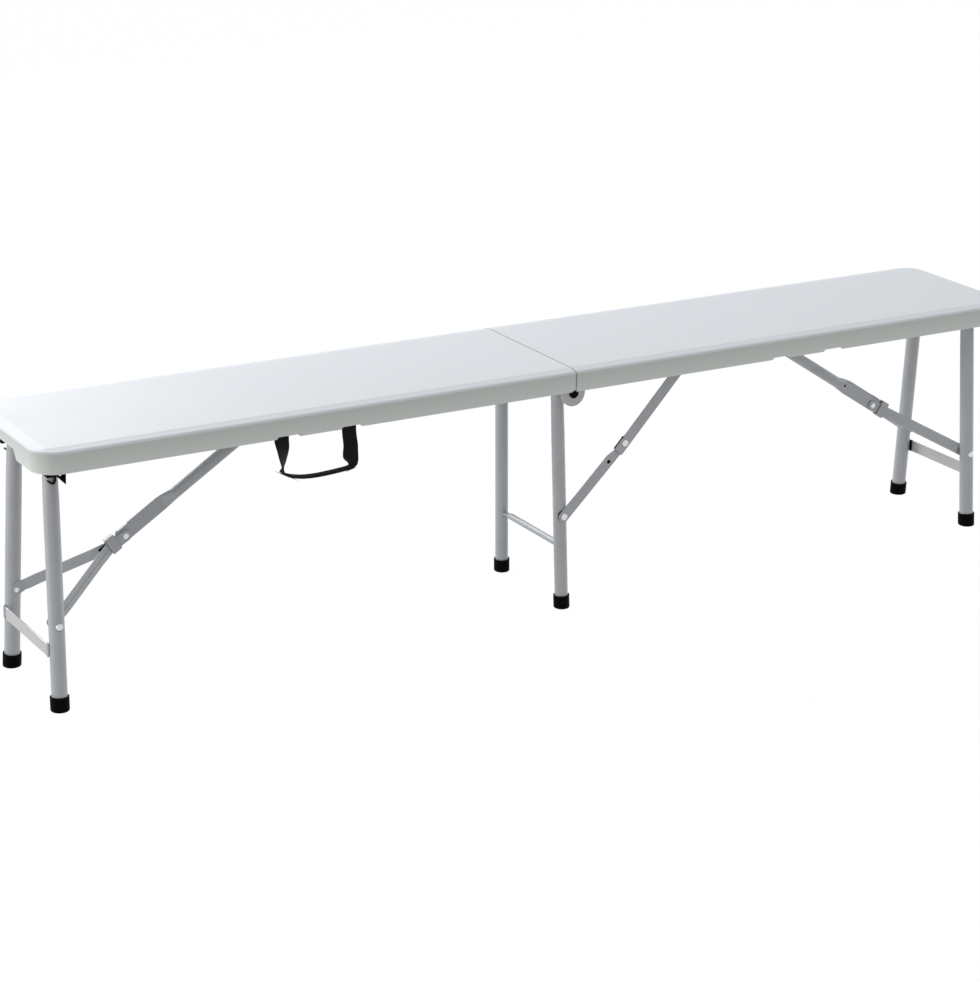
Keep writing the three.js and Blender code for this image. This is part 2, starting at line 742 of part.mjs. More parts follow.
// Middle legs with their bar
function addMiddleLegs(bench) {
  for (const [place, side] of [['near', -1], ['far', 1]]) {
    const axis = midAxisAt(side);
    addPiece(bench, `mid_leg_${place}`,
      legTube(axis, midTubeRadius, axleRadius + clearance, midRivetHeight), 'steel');
    addPiece(bench, `mid_foot_${place}`, legFoot(axis, midTubeRadius), 'rubber');
  }
  const barPlace = midAxisAt(1).at(midBarHeight);
  const splay = midAxisAt(1).direction.y / midAxisAt(1).direction.z;
  const barHalf = barPlace.y - midTubeRadius - midBarRadius * Math.abs(splay) - clearance;
  addPiece(bench, 'mid_leg_bar',
    acrossRod(midBarRadius, new THREE.Vector2(barPlace.x, barPlace.z), -barHalf, barHalf, rodSides), 'steel');
}

// Middle brace on the near side, with its lower link against the leg and its upper link outside it
function addMiddleBrace(bench, railInner) {
  const lowerInner = midSweptFace + clearance;
  const lowerOuter = lowerInner + midLinkThickness;
  const upperInner = lowerOuter + clearance;
  const upperOuter = upperInner + midLinkThickness;
  const half = midLinkWidth / 2;
  const origin = new THREE.Vector2(0, 0);

  const lowerSpan = midElbow.distanceTo(midRivet);
  const lowerSlope = Math.atan2(midElbow.y - midRivet.y, midRivet.x - midElbow.x);
  const lowerGroup = slopedGroup(bench, midElbow, lowerSlope);
  const rivetHole = acrossRod(rivetRadius + clearance, origin, 0, -halfWidth, smallSides);
  const lower = acrossPrism(barOutline(0, lowerSpan, half), -lowerInner, -lowerOuter)
    .subtract(rivetHole)
    .add(headedRod(rivetRadius, new THREE.Vector2(lowerSpan, 0), -lowerOuter,
      -(lowerOuter - midLinkThickness / 2), rivetHeadRadius, rivetHead));
  addPiece(lowerGroup, 'mid_lower_link', lower, 'steel');
  const innerHead = headedRod(rivetRadius, origin, -(lowerInner - clearance), -upperOuter,
    rivetHeadRadius, elbowRivetHead);
  const outerHead = headedRod(rivetRadius, origin, -(upperOuter + clearance), -lowerInner,
    rivetHeadRadius, elbowRivetHead);
  addPiece(lowerGroup, 'mid_elbow_rivet', innerHead.add(outerHead), 'rivet');

  const upperSpan = midElbow.distanceTo(midLinkPivot);
  const upperSlope = Math.atan2(midElbow.y - midLinkPivot.y, midLinkPivot.x - midElbow.x);
  const upperGroup = slopedGroup(bench, midElbow, upperSlope);
  const stop = block(
    new THREE.Vector3(-midStopLength + midStopLead, -upperOuter, half + midStopGap),
    new THREE.Vector3(midStopLead, -lowerInner, half + midStopGap + midLinkThickness / 2));
  const stopRoot = block(
    new THREE.Vector3(-midStopLength + midStopLead, -upperOuter, 0),
    new THREE.Vector3(midStopLead, -upperInner, half + midStopGap + midLinkThickness / 2));
  const upper = acrossPrism(barOutline(0, upperSpan, half), -upperInner, -upperOuter)
    .add(stopRoot)
    .add(stop)
    .subtract(rivetHole)
    .subtract(acrossRod(midPinRadius + clearance, new THREE.Vector2(upperSpan, 0), 0, -halfWidth, rodSides));
  addPiece(upperGroup, 'mid_upper_link', upper, 'steel');

  const pin = headedRod(midPinRadius, midLinkPivot, -(upperInner - clearance),
    -(railInner + midPinSeat), midPinHeadRadius, midPinHead);
  addPiece(bench, 'mid_link_pin', pin, 'steel');

  const legInner = midRivetPoint.y - midTubeRadius - clearance;
  const legRivet = headedRod(rivetRadius, midRivet, -legInner, -(lowerInner - clearance),
    rivetHeadRadius, rivetHead);
  addPiece(bench, 'mid_leg_rivet', legRivet, 'rivet');
}

// Webbing handle that hangs inside the near skirt of the left half
function addHandle(bench, railOuter) {
  const inner = railOuter + clearance;
  const middleY = -(inner + strapThickness / 2);
  const pivotZ = skirtBottom - strapDrop;
  const roll = strapThickness / 2;
  const gripZ = pivotZ - gripDrop;
  const pieces = [];
  for (const end of [-1, 1]) {
    const x = -strapMiddle + end * strapSpacing / 2;
    const place = end < 0 ? 'left' : 'right';
    const anchorBottom = pivotZ + roll + clearance;
    addPiece(bench, `handle_anchor_${place}`, block(
      new THREE.Vector3(x - strapWidth / 2, middleY - roll, anchorBottom),
      new THREE.Vector3(x + strapWidth / 2, middleY + roll, anchorBottom + anchorHeight)), 'webbing');
    const neckX = x + end * (strapWidth - strapNeck) / 2;
    const strap = outlineOf([
      [x - strapWidth / 2, pivotZ],
      [x + strapWidth / 2, pivotZ],
      [neckX + strapNeck / 2, gripZ + gripThickness],
      [neckX + strapNeck / 2, gripZ],
      [neckX - strapNeck / 2, gripZ],
      [neckX - strapNeck / 2, gripZ + gripThickness],
    ]);
    pieces.push(acrossPrism(strap, middleY - roll, middleY + roll));
    const hem = new THREE.CylinderGeometry(roll, roll, strapWidth, smallSides);
    hem.rotateZ(Math.PI / 2);
    hem.translate(x, middleY, pivotZ);
    pieces.push(solid(hem));
  }
  const gripHalf = (strapSpacing + strapWidth) / 2;
  pieces.push(block(
    new THREE.Vector3(-strapMiddle - gripHalf, middleY - gripWidth / 2, gripZ),
    new THREE.Vector3(-strapMiddle + gripHalf, middleY + gripWidth / 2, gripZ + gripThickness)));
  addPiece(bench, 'handle_strap', pieces.reduce((whole, piece) => whole.add(piece)), 'webbing');
}

const ends = [
  {
    name: 'left', turn: Math.PI, nearSign: 1, plateFace: outerPlateFace, plateTangent: Math.PI / 4,
    hasRelief: true, carriesPin: false,
  },
  {
    name: 'right', turn: 0, nearSign: -1, plateFace: innerPlateFace, plateTangent: Math.PI / 18,
    hasRelief: false, carriesPin: true,
  },
];

const bench = new THREE.Group();
for (const end of ends) {
  addEnd(bench, end);
}
addHinge(bench);
addMiddleLegs(bench);
addMiddleBrace(bench, innerPlateFace - plateThickness - clearance - railWidth);
addHandle(bench, outerPlateFace - plateThickness - clearance);

export default bench;
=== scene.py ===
"""A fold-in-half bench: moulded seat halves on folding steel legs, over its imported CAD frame."""
import json
import math
from collections import namedtuple
from contextlib import contextmanager

import bmesh
import bpy
import numpy as np
from bpy.props import FloatProperty, FloatVectorProperty, PointerProperty
from mathutils import Matrix, Vector

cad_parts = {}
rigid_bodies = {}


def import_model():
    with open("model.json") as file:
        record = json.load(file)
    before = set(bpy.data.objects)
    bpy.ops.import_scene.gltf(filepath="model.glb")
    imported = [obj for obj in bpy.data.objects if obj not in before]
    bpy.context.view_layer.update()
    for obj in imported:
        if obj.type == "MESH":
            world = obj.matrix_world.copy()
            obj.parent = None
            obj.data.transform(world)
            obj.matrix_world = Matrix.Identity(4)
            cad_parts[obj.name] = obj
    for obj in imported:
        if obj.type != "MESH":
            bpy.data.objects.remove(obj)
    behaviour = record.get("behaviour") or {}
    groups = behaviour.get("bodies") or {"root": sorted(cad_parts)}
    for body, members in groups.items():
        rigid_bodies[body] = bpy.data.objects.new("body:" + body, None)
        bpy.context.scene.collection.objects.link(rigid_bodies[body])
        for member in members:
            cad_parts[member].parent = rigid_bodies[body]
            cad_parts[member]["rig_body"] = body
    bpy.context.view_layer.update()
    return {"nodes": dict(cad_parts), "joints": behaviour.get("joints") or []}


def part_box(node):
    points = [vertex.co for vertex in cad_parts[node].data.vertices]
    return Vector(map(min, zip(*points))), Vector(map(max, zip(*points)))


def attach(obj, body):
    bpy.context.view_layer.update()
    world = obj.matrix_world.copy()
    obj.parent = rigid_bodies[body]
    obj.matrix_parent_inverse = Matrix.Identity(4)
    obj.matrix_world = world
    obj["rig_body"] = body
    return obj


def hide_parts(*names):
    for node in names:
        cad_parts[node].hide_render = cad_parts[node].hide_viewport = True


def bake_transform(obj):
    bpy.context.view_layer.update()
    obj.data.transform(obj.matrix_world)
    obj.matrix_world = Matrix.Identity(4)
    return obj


bl_info = {
    "name": "Folding bench",
    "version": (1, 0, 0),
    "blender": (4, 5, 0),
    "location": "3D View > Sidebar > Bench",
    "description": "Seat halves, steel legs, braces, hinge and webbing handle of a folding bench",
    "category": "Add Mesh",
}

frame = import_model()
NODES = frame["nodes"]
PIVOTS = {j["name"]: Vector(j["pos_m"]) for j in frame["joints"] if "pos_m" in j}

MM = 0.001
TINY = 0.01 * MM
SIDES = (("right", 1), ("left", -1))
PLACES = (("near", -1), ("far", 1))
SMOOTH_ANGLE = math.radians(38)
X_WAY, Y_WAY, Z_WAY = Matrix.Identity(3)
SEAT_LOW, SEAT_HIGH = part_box("panel_right")


def linear(red, green, blue):
    """Scene colour of a colour as it is seen, each part from 0 to 255."""
    parts = []
    for part in (red, green, blue):
        share = part / 255
        parts.append(share / 12.92 if share <= 0.04045 else ((share + 0.055) / 1.055) ** 2.4)
    return tuple(parts)


def length(name, words, default):
    return FloatProperty(name=name, description=words, default=default, min=0.0, unit="LENGTH",
                         precision=4)


def colour(name, words, default):
    return FloatVectorProperty(name=name, description=words, default=default, min=0.0, max=1.0,
                               size=3, subtype="COLOR")


# Sizes and colours

class BenchSeatSizes(bpy.types.PropertyGroup):
    corner: length("Corner radius", "Rounding of the seat's outer corners seen from above", 38 * MM)
    shoulder: length("Shoulder height", "Height of the rounding from skirt to top", 4.8 * MM)
    shoulder_run: length("Shoulder run", "Width of the rounding from skirt to top", 9.5 * MM)
    rim_inset: length("Rim inset", "Distance of the raised rim line from the outside", 20 * MM)
    rim_width: length("Rim width", "Width of the rim line's outer slope", 2 * MM)
    rim_back: length("Rim back", "Width of the rim line's inner slope", 6 * MM)
    rim_rise: length("Rim rise", "Height of the rim line above the flat top", 0.4 * MM)
    rim_corner: length("Rim corner", "Rounding of the rim line's corners", 6.5 * MM)
    band_fall: length("Band fall", "Fall of the band from the rim line to the shoulder", 2.0 * MM)
    wall: length("Skirt wall", "Thickness of the skirt", 5 * MM)
    skin: length("Top thickness", "Thickness of the seat's top", 8.5 * MM)
    edge: length("Edge rounding", "Rounding of the skirt's lower edges", 0.8 * MM)


class BenchLegSizes(bpy.types.PropertyGroup):
    end_radius: length("End tube radius", "Radius of the end legs' tubes", 12.3 * MM)
    middle_radius: length("Middle tube radius", "Radius of the middle legs' tubes", 11 * MM)
    wall: length("Tube wall", "Wall of the leg tubes", 1.5 * MM)
    press_length: length("Pressed length", "Length of a leg's top that is pressed", 105 * MM)
    press_depth: length("Press depth", "How far each side of it is pressed in", 1.6 * MM)
    crease: length("Crease depth", "Depth of the crease down a pressed leg top", 1.3 * MM)
    foot_wall: length("Foot wall", "Wall of the rubber feet", 2.45 * MM)
    foot_height: length("Foot height", "Height of the rubber feet", 23 * MM)
    dimple: length("Rivet dimple", "Depth of the flat under a rivet's head", 1.1 * MM)


class BenchBraceSizes(bpy.types.PropertyGroup):
    tube_radius: length("Link radius", "Radius of the end brace's tubular link", 9.2 * MM)
    tube_lower: length("Link drop", "How far the tube lies below its flat end", 1.6 * MM)
    paddle_width: length("Paddle width", "Width of the link's flattened end", 26 * MM)
    paddle_thickness: length("Paddle thickness", "Thickness of the link's flattened end", 1.8 * MM)
    arm_width: length("Arm width", "Width of the brace's arms", 19 * MM)
    arm_thickness: length("Arm thickness", "Thickness of the brace's arms", 2 * MM)
    sleeve_wall: length("Sleeve wall", "Wall of the lock sleeve", 1.2 * MM)
    middle_width: length("Middle link width", "Width of the middle brace's links", 19 * MM)
    middle_thickness: length("Middle link thickness", "Thickness of the middle links", 2.5 * MM)


class BenchHandleSizes(bpy.types.PropertyGroup):
    width: length("Webbing width", "Width of the handle's webbing", 24 * MM)
    thickness: length("Webbing thickness", "Thickness of the handle's webbing", 1.6 * MM)


class BenchColours(bpy.types.PropertyGroup):
    # Painted light: the seat is one plastic, shown in a top colour and in a greener side colour
    # that paints the shade on the skirt.
    seat_top: colour("Seat top", "Seat colour on faces that look up", linear(228, 233, 238))
    seat_side_painted_shade: colour("Seat side", "Seat colour on faces that look sideways", linear(240, 246, 241))
    steel: colour("Coated steel", "Powder-coated tubes and links", linear(190, 193, 197))
    bar: colour("Bar steel", "Flat bars between the legs", linear(202, 204, 206))
    plate: colour("Plate steel", "Hinge plates", linear(190, 192, 194))
    zinc: colour("Zinc", "Rivets, rods and pins", linear(232, 234, 237))
    rubber: colour("Rubber", "Feet", linear(4, 4, 5))
    # The black plastic also paints shade: the plugs in the links' holes, the strip on the middle
    # link's lip and the band round the right end bar's far end.
    plastic: colour("Black plastic", "Hinge caps and leg blocks", linear(8, 8, 9))
    webbing: colour("Webbing", "Handle", linear(12, 12, 14))


GROUPS = {
    "bench_seat": BenchSeatSizes,
    "bench_legs": BenchLegSizes,
    "bench_braces": BenchBraceSizes,
    "bench_handle": BenchHandleSizes,
    "bench_colours": BenchColours,
}


# Shader maths

class Level:
    """A socket whose value varies over a surface; sums on it add Math nodes."""

    def __init__(self, finish, socket):
        self.finish = finish
        self.socket = socket

    def also(self, output):
        """Another output of the same node."""
        return Level(self.finish, self.socket.node.outputs[output])

    def sum_of(self, operation, *parts):
        return self.finish.node("ShaderNodeMath", {"operation": operation}, dict(enumerate(parts)))

    def __add__(self, other):
        return self.sum_of("ADD", self, other)

    def __radd__(self, other):
        return self.sum_of("ADD", other, self)

    def __sub__(self, other):
        return self.sum_of("SUBTRACT", self, other)

    def __rsub__(self, other):
        return self.sum_of("SUBTRACT", other, self)

    def __mul__(self, other):
        return self.sum_of("MULTIPLY", self, other)

    def __rmul__(self, other):
        return self.sum_of("MULTIPLY", other, self)

    def sine(self):
        return self.sum_of("SINE", self)

    def larger(self, other):
        return self.sum_of("MAXIMUM", self, other)

    def clamped(self):
        """Kept between zero and one."""
        return self.finish.node("ShaderNodeClamp", {}, {"Value": self})


class Finish:
    """The nodes of a material or of the background."""

    def __init__(self, owner):
        self.owner = owner
        owner.use_nodes = True
        self.tree = owner.node_tree
        self.tree.nodes.clear()

    def node(self, kind, settings, inputs, output=0):
        made = self.tree.nodes.new(kind)
        for name, value in settings.items():
            setattr(made, name, value)
        for name, value in inputs.items():
            socket = made.inputs[name]
            if isinstance(value, Level):
                self.tree.links.new(value.socket, socket)
            else:
                socket.default_value = (*value, 1) if socket.type == "RGBA" else value
        return Level(self, made.outputs[output])

    def place(self):
        """The place in metres, which is the object's own because every piece sits at the origin."""
        return self.node("ShaderNodeTexCoord", {}, {}, "Object")

    def stretched(self, scale):
        return self.node("ShaderNodeMapping", {}, {"Vector": self.place(), "Scale": scale})

    def noise(self, scale, detail, where=None):
        return self.node("ShaderNodeTexNoise", {}, {
            "Vector": where or self.place(), "Scale": scale, "Detail": detail, "Roughness": 0.55})

    def mixed(self, share, first, second):
        factor, start_colour, end_colour, result = 0, 6, 7, 2
        return self.node("ShaderNodeMix", {"data_type": "RGBA"},
                         {factor: share, start_colour: first, end_colour: second}, result)

    def shaded(self, base, amount, share):
        """The colour, darker by an amount where the share is one."""
        return self.mixed(share, base, tuple(part * (1 - amount) for part in base))

    def bump(self, height, distance, strength):
        return self.node("ShaderNodeBump", {}, {
            "Height": height, "Distance": distance, "Strength": strength})

    def skin(self, **sockets):
        self.show(self.node("ShaderNodeBsdfPrincipled", {}, {
            name.replace("_", " "): value for name, value in sockets.items()}))

    def show(self, shader, kind="Material"):
        out = self.tree.nodes.new(f"ShaderNodeOutput{kind}")
        self.tree.links.new(shader.socket, out.inputs["Surface"])


def seat_plastic(finish, colours):
    """Moulded plastic with painted light: the top and the sides take their own colours for how
    light falls on them, and painted shade darkens the sides towards the shoulder.
    """
    facing = finish.node("ShaderNodeTexCoord", {}, {}, "Normal")
    # Painted light: faces that look up take the top colour, and faces that look sideways take the
    # side colour that paints the skirt's shade.
    up = finish.node("ShaderNodeSeparateXYZ", {}, {"Vector": facing}, "Z").clamped()
    height = finish.node("ShaderNodeSeparateXYZ", {}, {"Vector": finish.place()}, "Z")
    # Painted shade: the sides darken towards the shoulder.
    painted_shade_climb = ((height - SEAT_LOW.z) * (1 / (SEAT_HIGH.z - SEAT_LOW.z))).clamped()
    side = finish.shaded(colours.seat_side_painted_shade, amount=0.2, share=painted_shade_climb)
    tint = finish.mixed(up, side, colours.seat_top)
    cloud = finish.noise(scale=7, detail=3)
    tint = finish.mixed(cloud * 0.05, tint, tuple(part * 0.8 for part in colours.seat_top))
    grain = finish.noise(scale=850, detail=2)
    swell = finish.noise(scale=24, detail=2)
    finish.skin(
        Base_Color=tint, Roughness=0.44 + 0.12 * cloud, Specular_IOR_Level=0.4,
        Normal=finish.bump(grain + 1.5 * swell, distance=0.10 * MM, strength=0.6))


def painted(finish, base, metallic, rough):
    """Powder coat: a fine orange peel over a colour that varies softly."""
    cloud = finish.noise(scale=14, detail=3)
    peel = finish.noise(scale=520, detail=2)
    finish.skin(
        Base_Color=finish.shaded(base, amount=0.16, share=cloud), Metallic=metallic,
        Roughness=rough - 0.06 + 0.12 * cloud, Coat_Weight=0.2, Coat_Roughness=0.35,
        Normal=finish.bump(peel, distance=0.03 * MM, strength=0.25))


def drawn(finish, base, stretch, rough):
    """Plated metal with fine scratches along one way."""
    lines = finish.noise(scale=90, detail=3, where=finish.stretched(stretch))
    finish.skin(
        Base_Color=finish.shaded(base, amount=0.22, share=lines), Metallic=0.9,
        Roughness=rough + 0.14 * lines,
        Normal=finish.bump(lines, distance=0.05 * MM, strength=0.4))


def moulded(finish, base, rough, grain_size, depth):
    """Black moulded rubber or plastic with a fine grain and pale dust."""
    cloud = finish.noise(scale=40, detail=3)
    grain = finish.noise(grain_size, detail=2)
    dusty = tuple(part + 0.002 for part in base)
    finish.skin(
        Base_Color=finish.mixed((cloud - 0.35).clamped(), base, dusty),
        Roughness=rough - 0.08 + 0.16 * cloud, Specular_IOR_Level=0.04,
        Normal=finish.bump(grain, depth, strength=0.6))


def woven(finish, colours):
    """Webbing: ribs across the strap and threads along it, on the strap's own map in metres."""
    strap = finish.node("ShaderNodeUVMap", {"uv_map": "Strap"}, {})
    across = finish.node("ShaderNodeSeparateXYZ", {}, {"Vector": strap}, "X")
    along = across.also("Y")
    ribs = (along * 2100.0).sine()
    threads = (across * 3900.0 + (along * 1050.0).sine() * 1.6).sine()
    weave = (ribs * threads) * 0.5 + 0.5
    base = colours.webbing
    pale = tuple(part * 2.4 + 0.01 for part in base)
    finish.skin(
        Base_Color=finish.mixed(weave * 0.6, base, pale), Roughness=0.62 + 0.2 * weave,
        Sheen_Weight=0.05, Sheen_Roughness=0.4, Specular_IOR_Level=0.15,
        Normal=finish.bump(weave, distance=0.25 * MM, strength=0.8))


FINISHES = {
    "seat_plastic": seat_plastic,
    "coated_steel": lambda to, tints: painted(to, tints.steel, metallic=0.2, rough=0.5),
    "bar_steel": lambda to, tints: painted(to, tints.bar, metallic=0.3, rough=0.36),
    "plate_steel": lambda to, tints: painted(to, tints.plate, metallic=0.3, rough=0.38),
    "zinc_steel": lambda to, tints: drawn(to, tints.zinc, stretch=(1, 0.05, 1), rough=0.28),
    "zinc_rivet": lambda to, tints: drawn(to, tints.zinc, stretch=(1, 1, 1), rough=0.24),
    "foot_rubber": lambda to, tints: moulded(
        to, tints.rubber, rough=0.62, grain_size=900, depth=0.12 * MM),
    "black_plastic": lambda to, tints: moulded(
        to, tints.plastic, rough=0.45, grain_size=700, depth=0.08 * MM),
    "webbing": woven,
}


def finish_of(slot):
    """The material of a slot of the record, or of a variant of one, made when first needed."""
    known = bpy.data.materials.get(slot)
    if known and known.get("bench_finish"):
        return known
    if known:
        known.name = "frame_" + slot
    finish = Finish(bpy.data.materials.new(slot))
    FINISHES[slot](finish, bpy.context.scene.bench_colours)
    finish.owner["bench_finish"] = True
    return finish.owner


# Modelling

def deselect():
    if bpy.context.mode != "OBJECT":
        bpy.ops.object.mode_set(mode="OBJECT")
    bpy.ops.object.select_all(action="DESELECT")


def activate(obj):
    deselect()
    obj.select_set(True)
    bpy.context.view_layer.objects.active = obj


def start(kind, name, **settings):
    """Adds a primitive as the start of a piece, with its place in its mesh."""
    deselect()
    getattr(bpy.ops.mesh, f"primitive_{kind}_add")(**settings)
    obj = bpy.context.object
    obj.name = name
    obj.data.name = name
    bpy.ops.object.transform_apply()
    return obj


@contextmanager
def editing(obj):
    activate(obj)
    bpy.ops.object.mode_set(mode="EDIT")
    bpy.ops.mesh.select_all(action="SELECT")
    yield
    bpy.ops.object.mode_set(mode="OBJECT")


def pick(kind, test):
    """Selects, in edit mode, the faces, edges or points that pass a test."""
    mesh = bpy.context.edit_object.data
    bpy.ops.mesh.select_mode(type=kind)
    bpy.ops.mesh.select_all(action="DESELECT")
    form = bmesh.from_edit_mesh(mesh)
    parts = {"FACE": form.faces, "EDGE": form.edges, "VERT": form.verts}[kind]
    found = [part for part in parts if test(part)]
    for part in found:
        part.select_set(True)
    form.select_flush_mode()
    bmesh.update_edit_mesh(mesh)
    if not found:
        raise RuntimeError(f"nothing to pick on {bpy.context.edit_object.name}")


def pick_all_faces():
    """Selects every face, in edit mode, for the extrusion that follows."""
    bpy.ops.mesh.select_mode(type="FACE")
    bpy.ops.mesh.select_all(action="SELECT")


def drop_faces(test):
    pick("FACE", test)
    bpy.ops.mesh.delete(type="FACE")


def shift(step):
    bpy.ops.transform.translate(value=step)


def resize(shares, centre=(0, 0, 0)):
    bpy.ops.transform.resize(value=shares, center_override=centre)


def extrude(step):
    bpy.ops.mesh.extrude_region_move(TRANSFORM_OT_translate={"value": step})


def modify(obj, kind, **settings):
    """Adds a modifier, sets it and applies it."""
    activate(obj)
    modifier = obj.modifiers.new(kind.title(), kind)
    for name, value in settings.items():
        setattr(modifier, name, value)
    bpy.ops.object.modifier_apply(modifier=modifier.name)


def rounded(obj, width, segments=2, angle=40):
    """Bevels the edges that turn by more than an angle."""
    modify(obj, "BEVEL", width=width, segments=segments, limit_method="ANGLE",
           angle_limit=math.radians(angle), miter_outer="MITER_ARC")


def thickened(obj, thickness, offset):
    """Gives an open skin its thickness, inwards at an offset of -1 and to both sides at 0."""
    modify(obj, "SOLIDIFY", thickness=thickness, offset=offset, use_even_offset=True)


def cut(obj, other, operation="DIFFERENCE"):
    """Cuts the other piece out of the first and takes the other away."""
    modify(obj, "BOOLEAN", object=other, operation=operation, solver="EXACT")
    mesh = other.data
    bpy.data.objects.remove(other)
    bpy.data.meshes.remove(mesh)
    if not obj.data.polygons:
        raise RuntimeError(f"{obj.name} was lost in a cut")


def added(obj, other):
    """Adds the other piece to the first and takes the other away."""
    cut(obj, other, "UNION")


def box_between(low, high, name="cutter", top_inset=0.0):
    """A block between two corners, whose top may be shorter along X at both ends."""
    obj = start("cube", name, size=1)
    low, high = Vector(low), Vector(high)
    with editing(obj):
        resize(high - low)
        shift((low + high) / 2)
        if top_inset:
            pick("VERT", lambda v: v.co.z > (low.z + high.z) / 2)
            span = high.x - low.x
            resize(((span - 2 * top_inset) / span, 1, 1), ((low.x + high.x) / 2, 0, high.z))
    return obj


def rod_across(x, z, radius, y_low, y_high, name="cutter", sides=32):
    """A round rod along Y."""
    return start("cylinder", name, vertices=sides, radius=radius, depth=y_high - y_low,
                 location=(x, (y_low + y_high) / 2, z), rotation=(math.pi / 2, 0, 0))


def middle_xz(low, high):
    """The middle of a box seen from the side."""
    return (low.x + high.x) / 2, (low.z + high.z) / 2


def outwards(obj):
    """Turns a closed shape right side out."""
    form = bmesh.new()
    form.from_mesh(obj.data)
    inside_out = form.calc_volume(signed=True) < 0
    form.free()
    if inside_out:
        with editing(obj):
            bpy.ops.mesh.flip_normals()


def settle(obj, matrix):
    """Puts a piece in its place, with that place in its mesh."""
    obj.matrix_world = matrix
    activate(obj)
    bpy.ops.object.transform_apply()
    outwards(obj)
    return obj


def twin(obj, name, matrix):
    """A copy with its own mesh, put somewhere else."""
    mesh = obj.data.copy()
    mesh.name = name
    other = bpy.data.objects.new(name, mesh)
    bpy.context.scene.collection.objects.link(other)
    return settle(other, matrix)


def flipped(x_sign, y_sign):
    return Matrix.Diagonal((x_sign, y_sign, 1, 1))


def axes_at(origin, x_axis, y_axis, z_axis):
    """A frame from its origin and the ways that its three axes point."""
    matrix = Matrix.Identity(4)
    for column, axis in enumerate((x_axis, y_axis, z_axis, origin)):
        for row in range(3):
            matrix[row][column] = axis[row]
    return matrix


def along_slope(origin, slope, side):
    """Z runs down a sloping member towards a side, X to its upper face and Y to the far side."""
    run = Vector((side * math.cos(slope), 0, -math.sin(slope)))
    upper = Vector((side * math.sin(slope), 0, math.cos(slope)))
    return axes_at(origin, upper, Y_WAY, run)


def looking_along_y(place, y_way):
    """Z points along Y, to the near side or the far one."""
    way = Vector((0, y_way, 0))
    return axes_at(place, X_WAY, way.cross(X_WAY), way)


def finished(obj, body, slot, replaced=(), finish=None):
    """Shades, colours and hands a piece to its body."""
    obj.data.materials.clear()
    obj.data.materials.append(finish_of(finish or slot))
    activate(obj)
    bpy.ops.object.shade_smooth_by_angle(angle=SMOOTH_ANGLE)
    modify(obj, "WEIGHTED_NORMAL", keep_sharp=True)
    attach(obj, body)
    if replaced:
        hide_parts(*replaced)
    return obj


def dressed(node, slot, edge, segments=2):
    """A copy of a CAD node with its edges rounded."""
    source = NODES[node]
    mesh = source.data.copy()
    mesh.name = node + "_seen"
    obj = bpy.data.objects.new(node + "_seen", mesh)
    bpy.context.scene.collection.objects.link(obj)
    activate(obj)
    if mesh.has_custom_normals:
        bpy.ops.mesh.customdata_custom_splitnormals_clear()
    with editing(obj):
        bpy.ops.mesh.remove_doubles(threshold=TINY)
        bpy.ops.mesh.dissolve_limited(angle_limit=math.radians(0.5))
    rounded(obj, edge, segments)
    return finished(obj, source["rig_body"], slot, (node,))


# A loft's ring: its place along Z, its half sizes, how far its halves are spread along X, its shift
Ring = namedtuple("Ring", "place half_x half_y spread dx dy", defaults=(0.0, 0.0, 0.0))


def loft(name, rings, sides=48):
    """A bar along Z through rows of a Ring's numbers."""
    before, *others = (Ring(*ring) for ring in rings)
    obj = start("circle", name, vertices=sides, radius=1, fill_type="NGON")
    slack = 0.001 * MM

    def spread_halves(ring, amount):
        for sign in (-1, 1):
            pick("VERT", lambda v: abs(v.co.z - ring.place) < slack
                 and (v.co.x - ring.dx) * sign > slack)
            shift((sign * amount, 0, 0))

    with editing(obj):
        resize((before.half_x, before.half_y, 1))
        shift((before.dx, before.dy, before.place))
        if before.spread:
            spread_halves(before, before.spread)
        pick_all_faces()
        for ring in others:
            extrude((ring.dx - before.dx, ring.dy - before.dy, ring.place - before.place))
            if before.spread:
                spread_halves(ring, -before.spread)
                pick("VERT", lambda v: abs(v.co.z - ring.place) < slack)
            resize((ring.half_x / before.half_x, ring.half_y / before.half_y, 1),
                   (ring.dx, ring.dy, ring.place))
            if ring.spread:
                spread_halves(ring, ring.spread)
            pick("VERT", lambda v: abs(v.co.z - ring.place) < slack)
            bpy.ops.mesh.select_mode(type="FACE")
            before = ring
    outwards(obj)
    return obj


def smooth_share(share):
    return share * share * (3 - 2 * share)


def between(first, second, share):
    return first + (second - first) * share


def tip_rings(place, half_width, half_thick, edge, radius, way, dy=0.0):
    """Rings of a flat bar's rounded end, from the full width to the tip."""
    rings, steps = [], 6
    for step in range(steps + 1):
        turn = math.pi / 2 * step / steps
        inset = radius * (1 - math.cos(turn))
        spread = max(half_width - edge - inset, 0.05 * MM)
        rings.append((place + way * radius * math.sin(turn), edge, half_thick, spread, 0.0, dy))
    return rings


# Seat

def shoulder_steps(sizes):
    """(inset, rise) from the skirt over the shoulder and the band to the rim line and the top."""
    arc = 9
    steps = [(sizes.shoulder_run * (1 - math.cos(math.pi / 2 * i / arc)),
              sizes.shoulder * math.sin(math.pi / 2 * i / arc)) for i in range(arc + 1)]
    rim = sizes.shoulder + sizes.band_fall
    return steps + [
        (sizes.rim_inset - sizes.rim_width, sizes.shoulder + sizes.band_fall * 0.75),
        (sizes.rim_inset, rim),
        (sizes.rim_inset + sizes.rim_back, rim - sizes.rim_rise)]


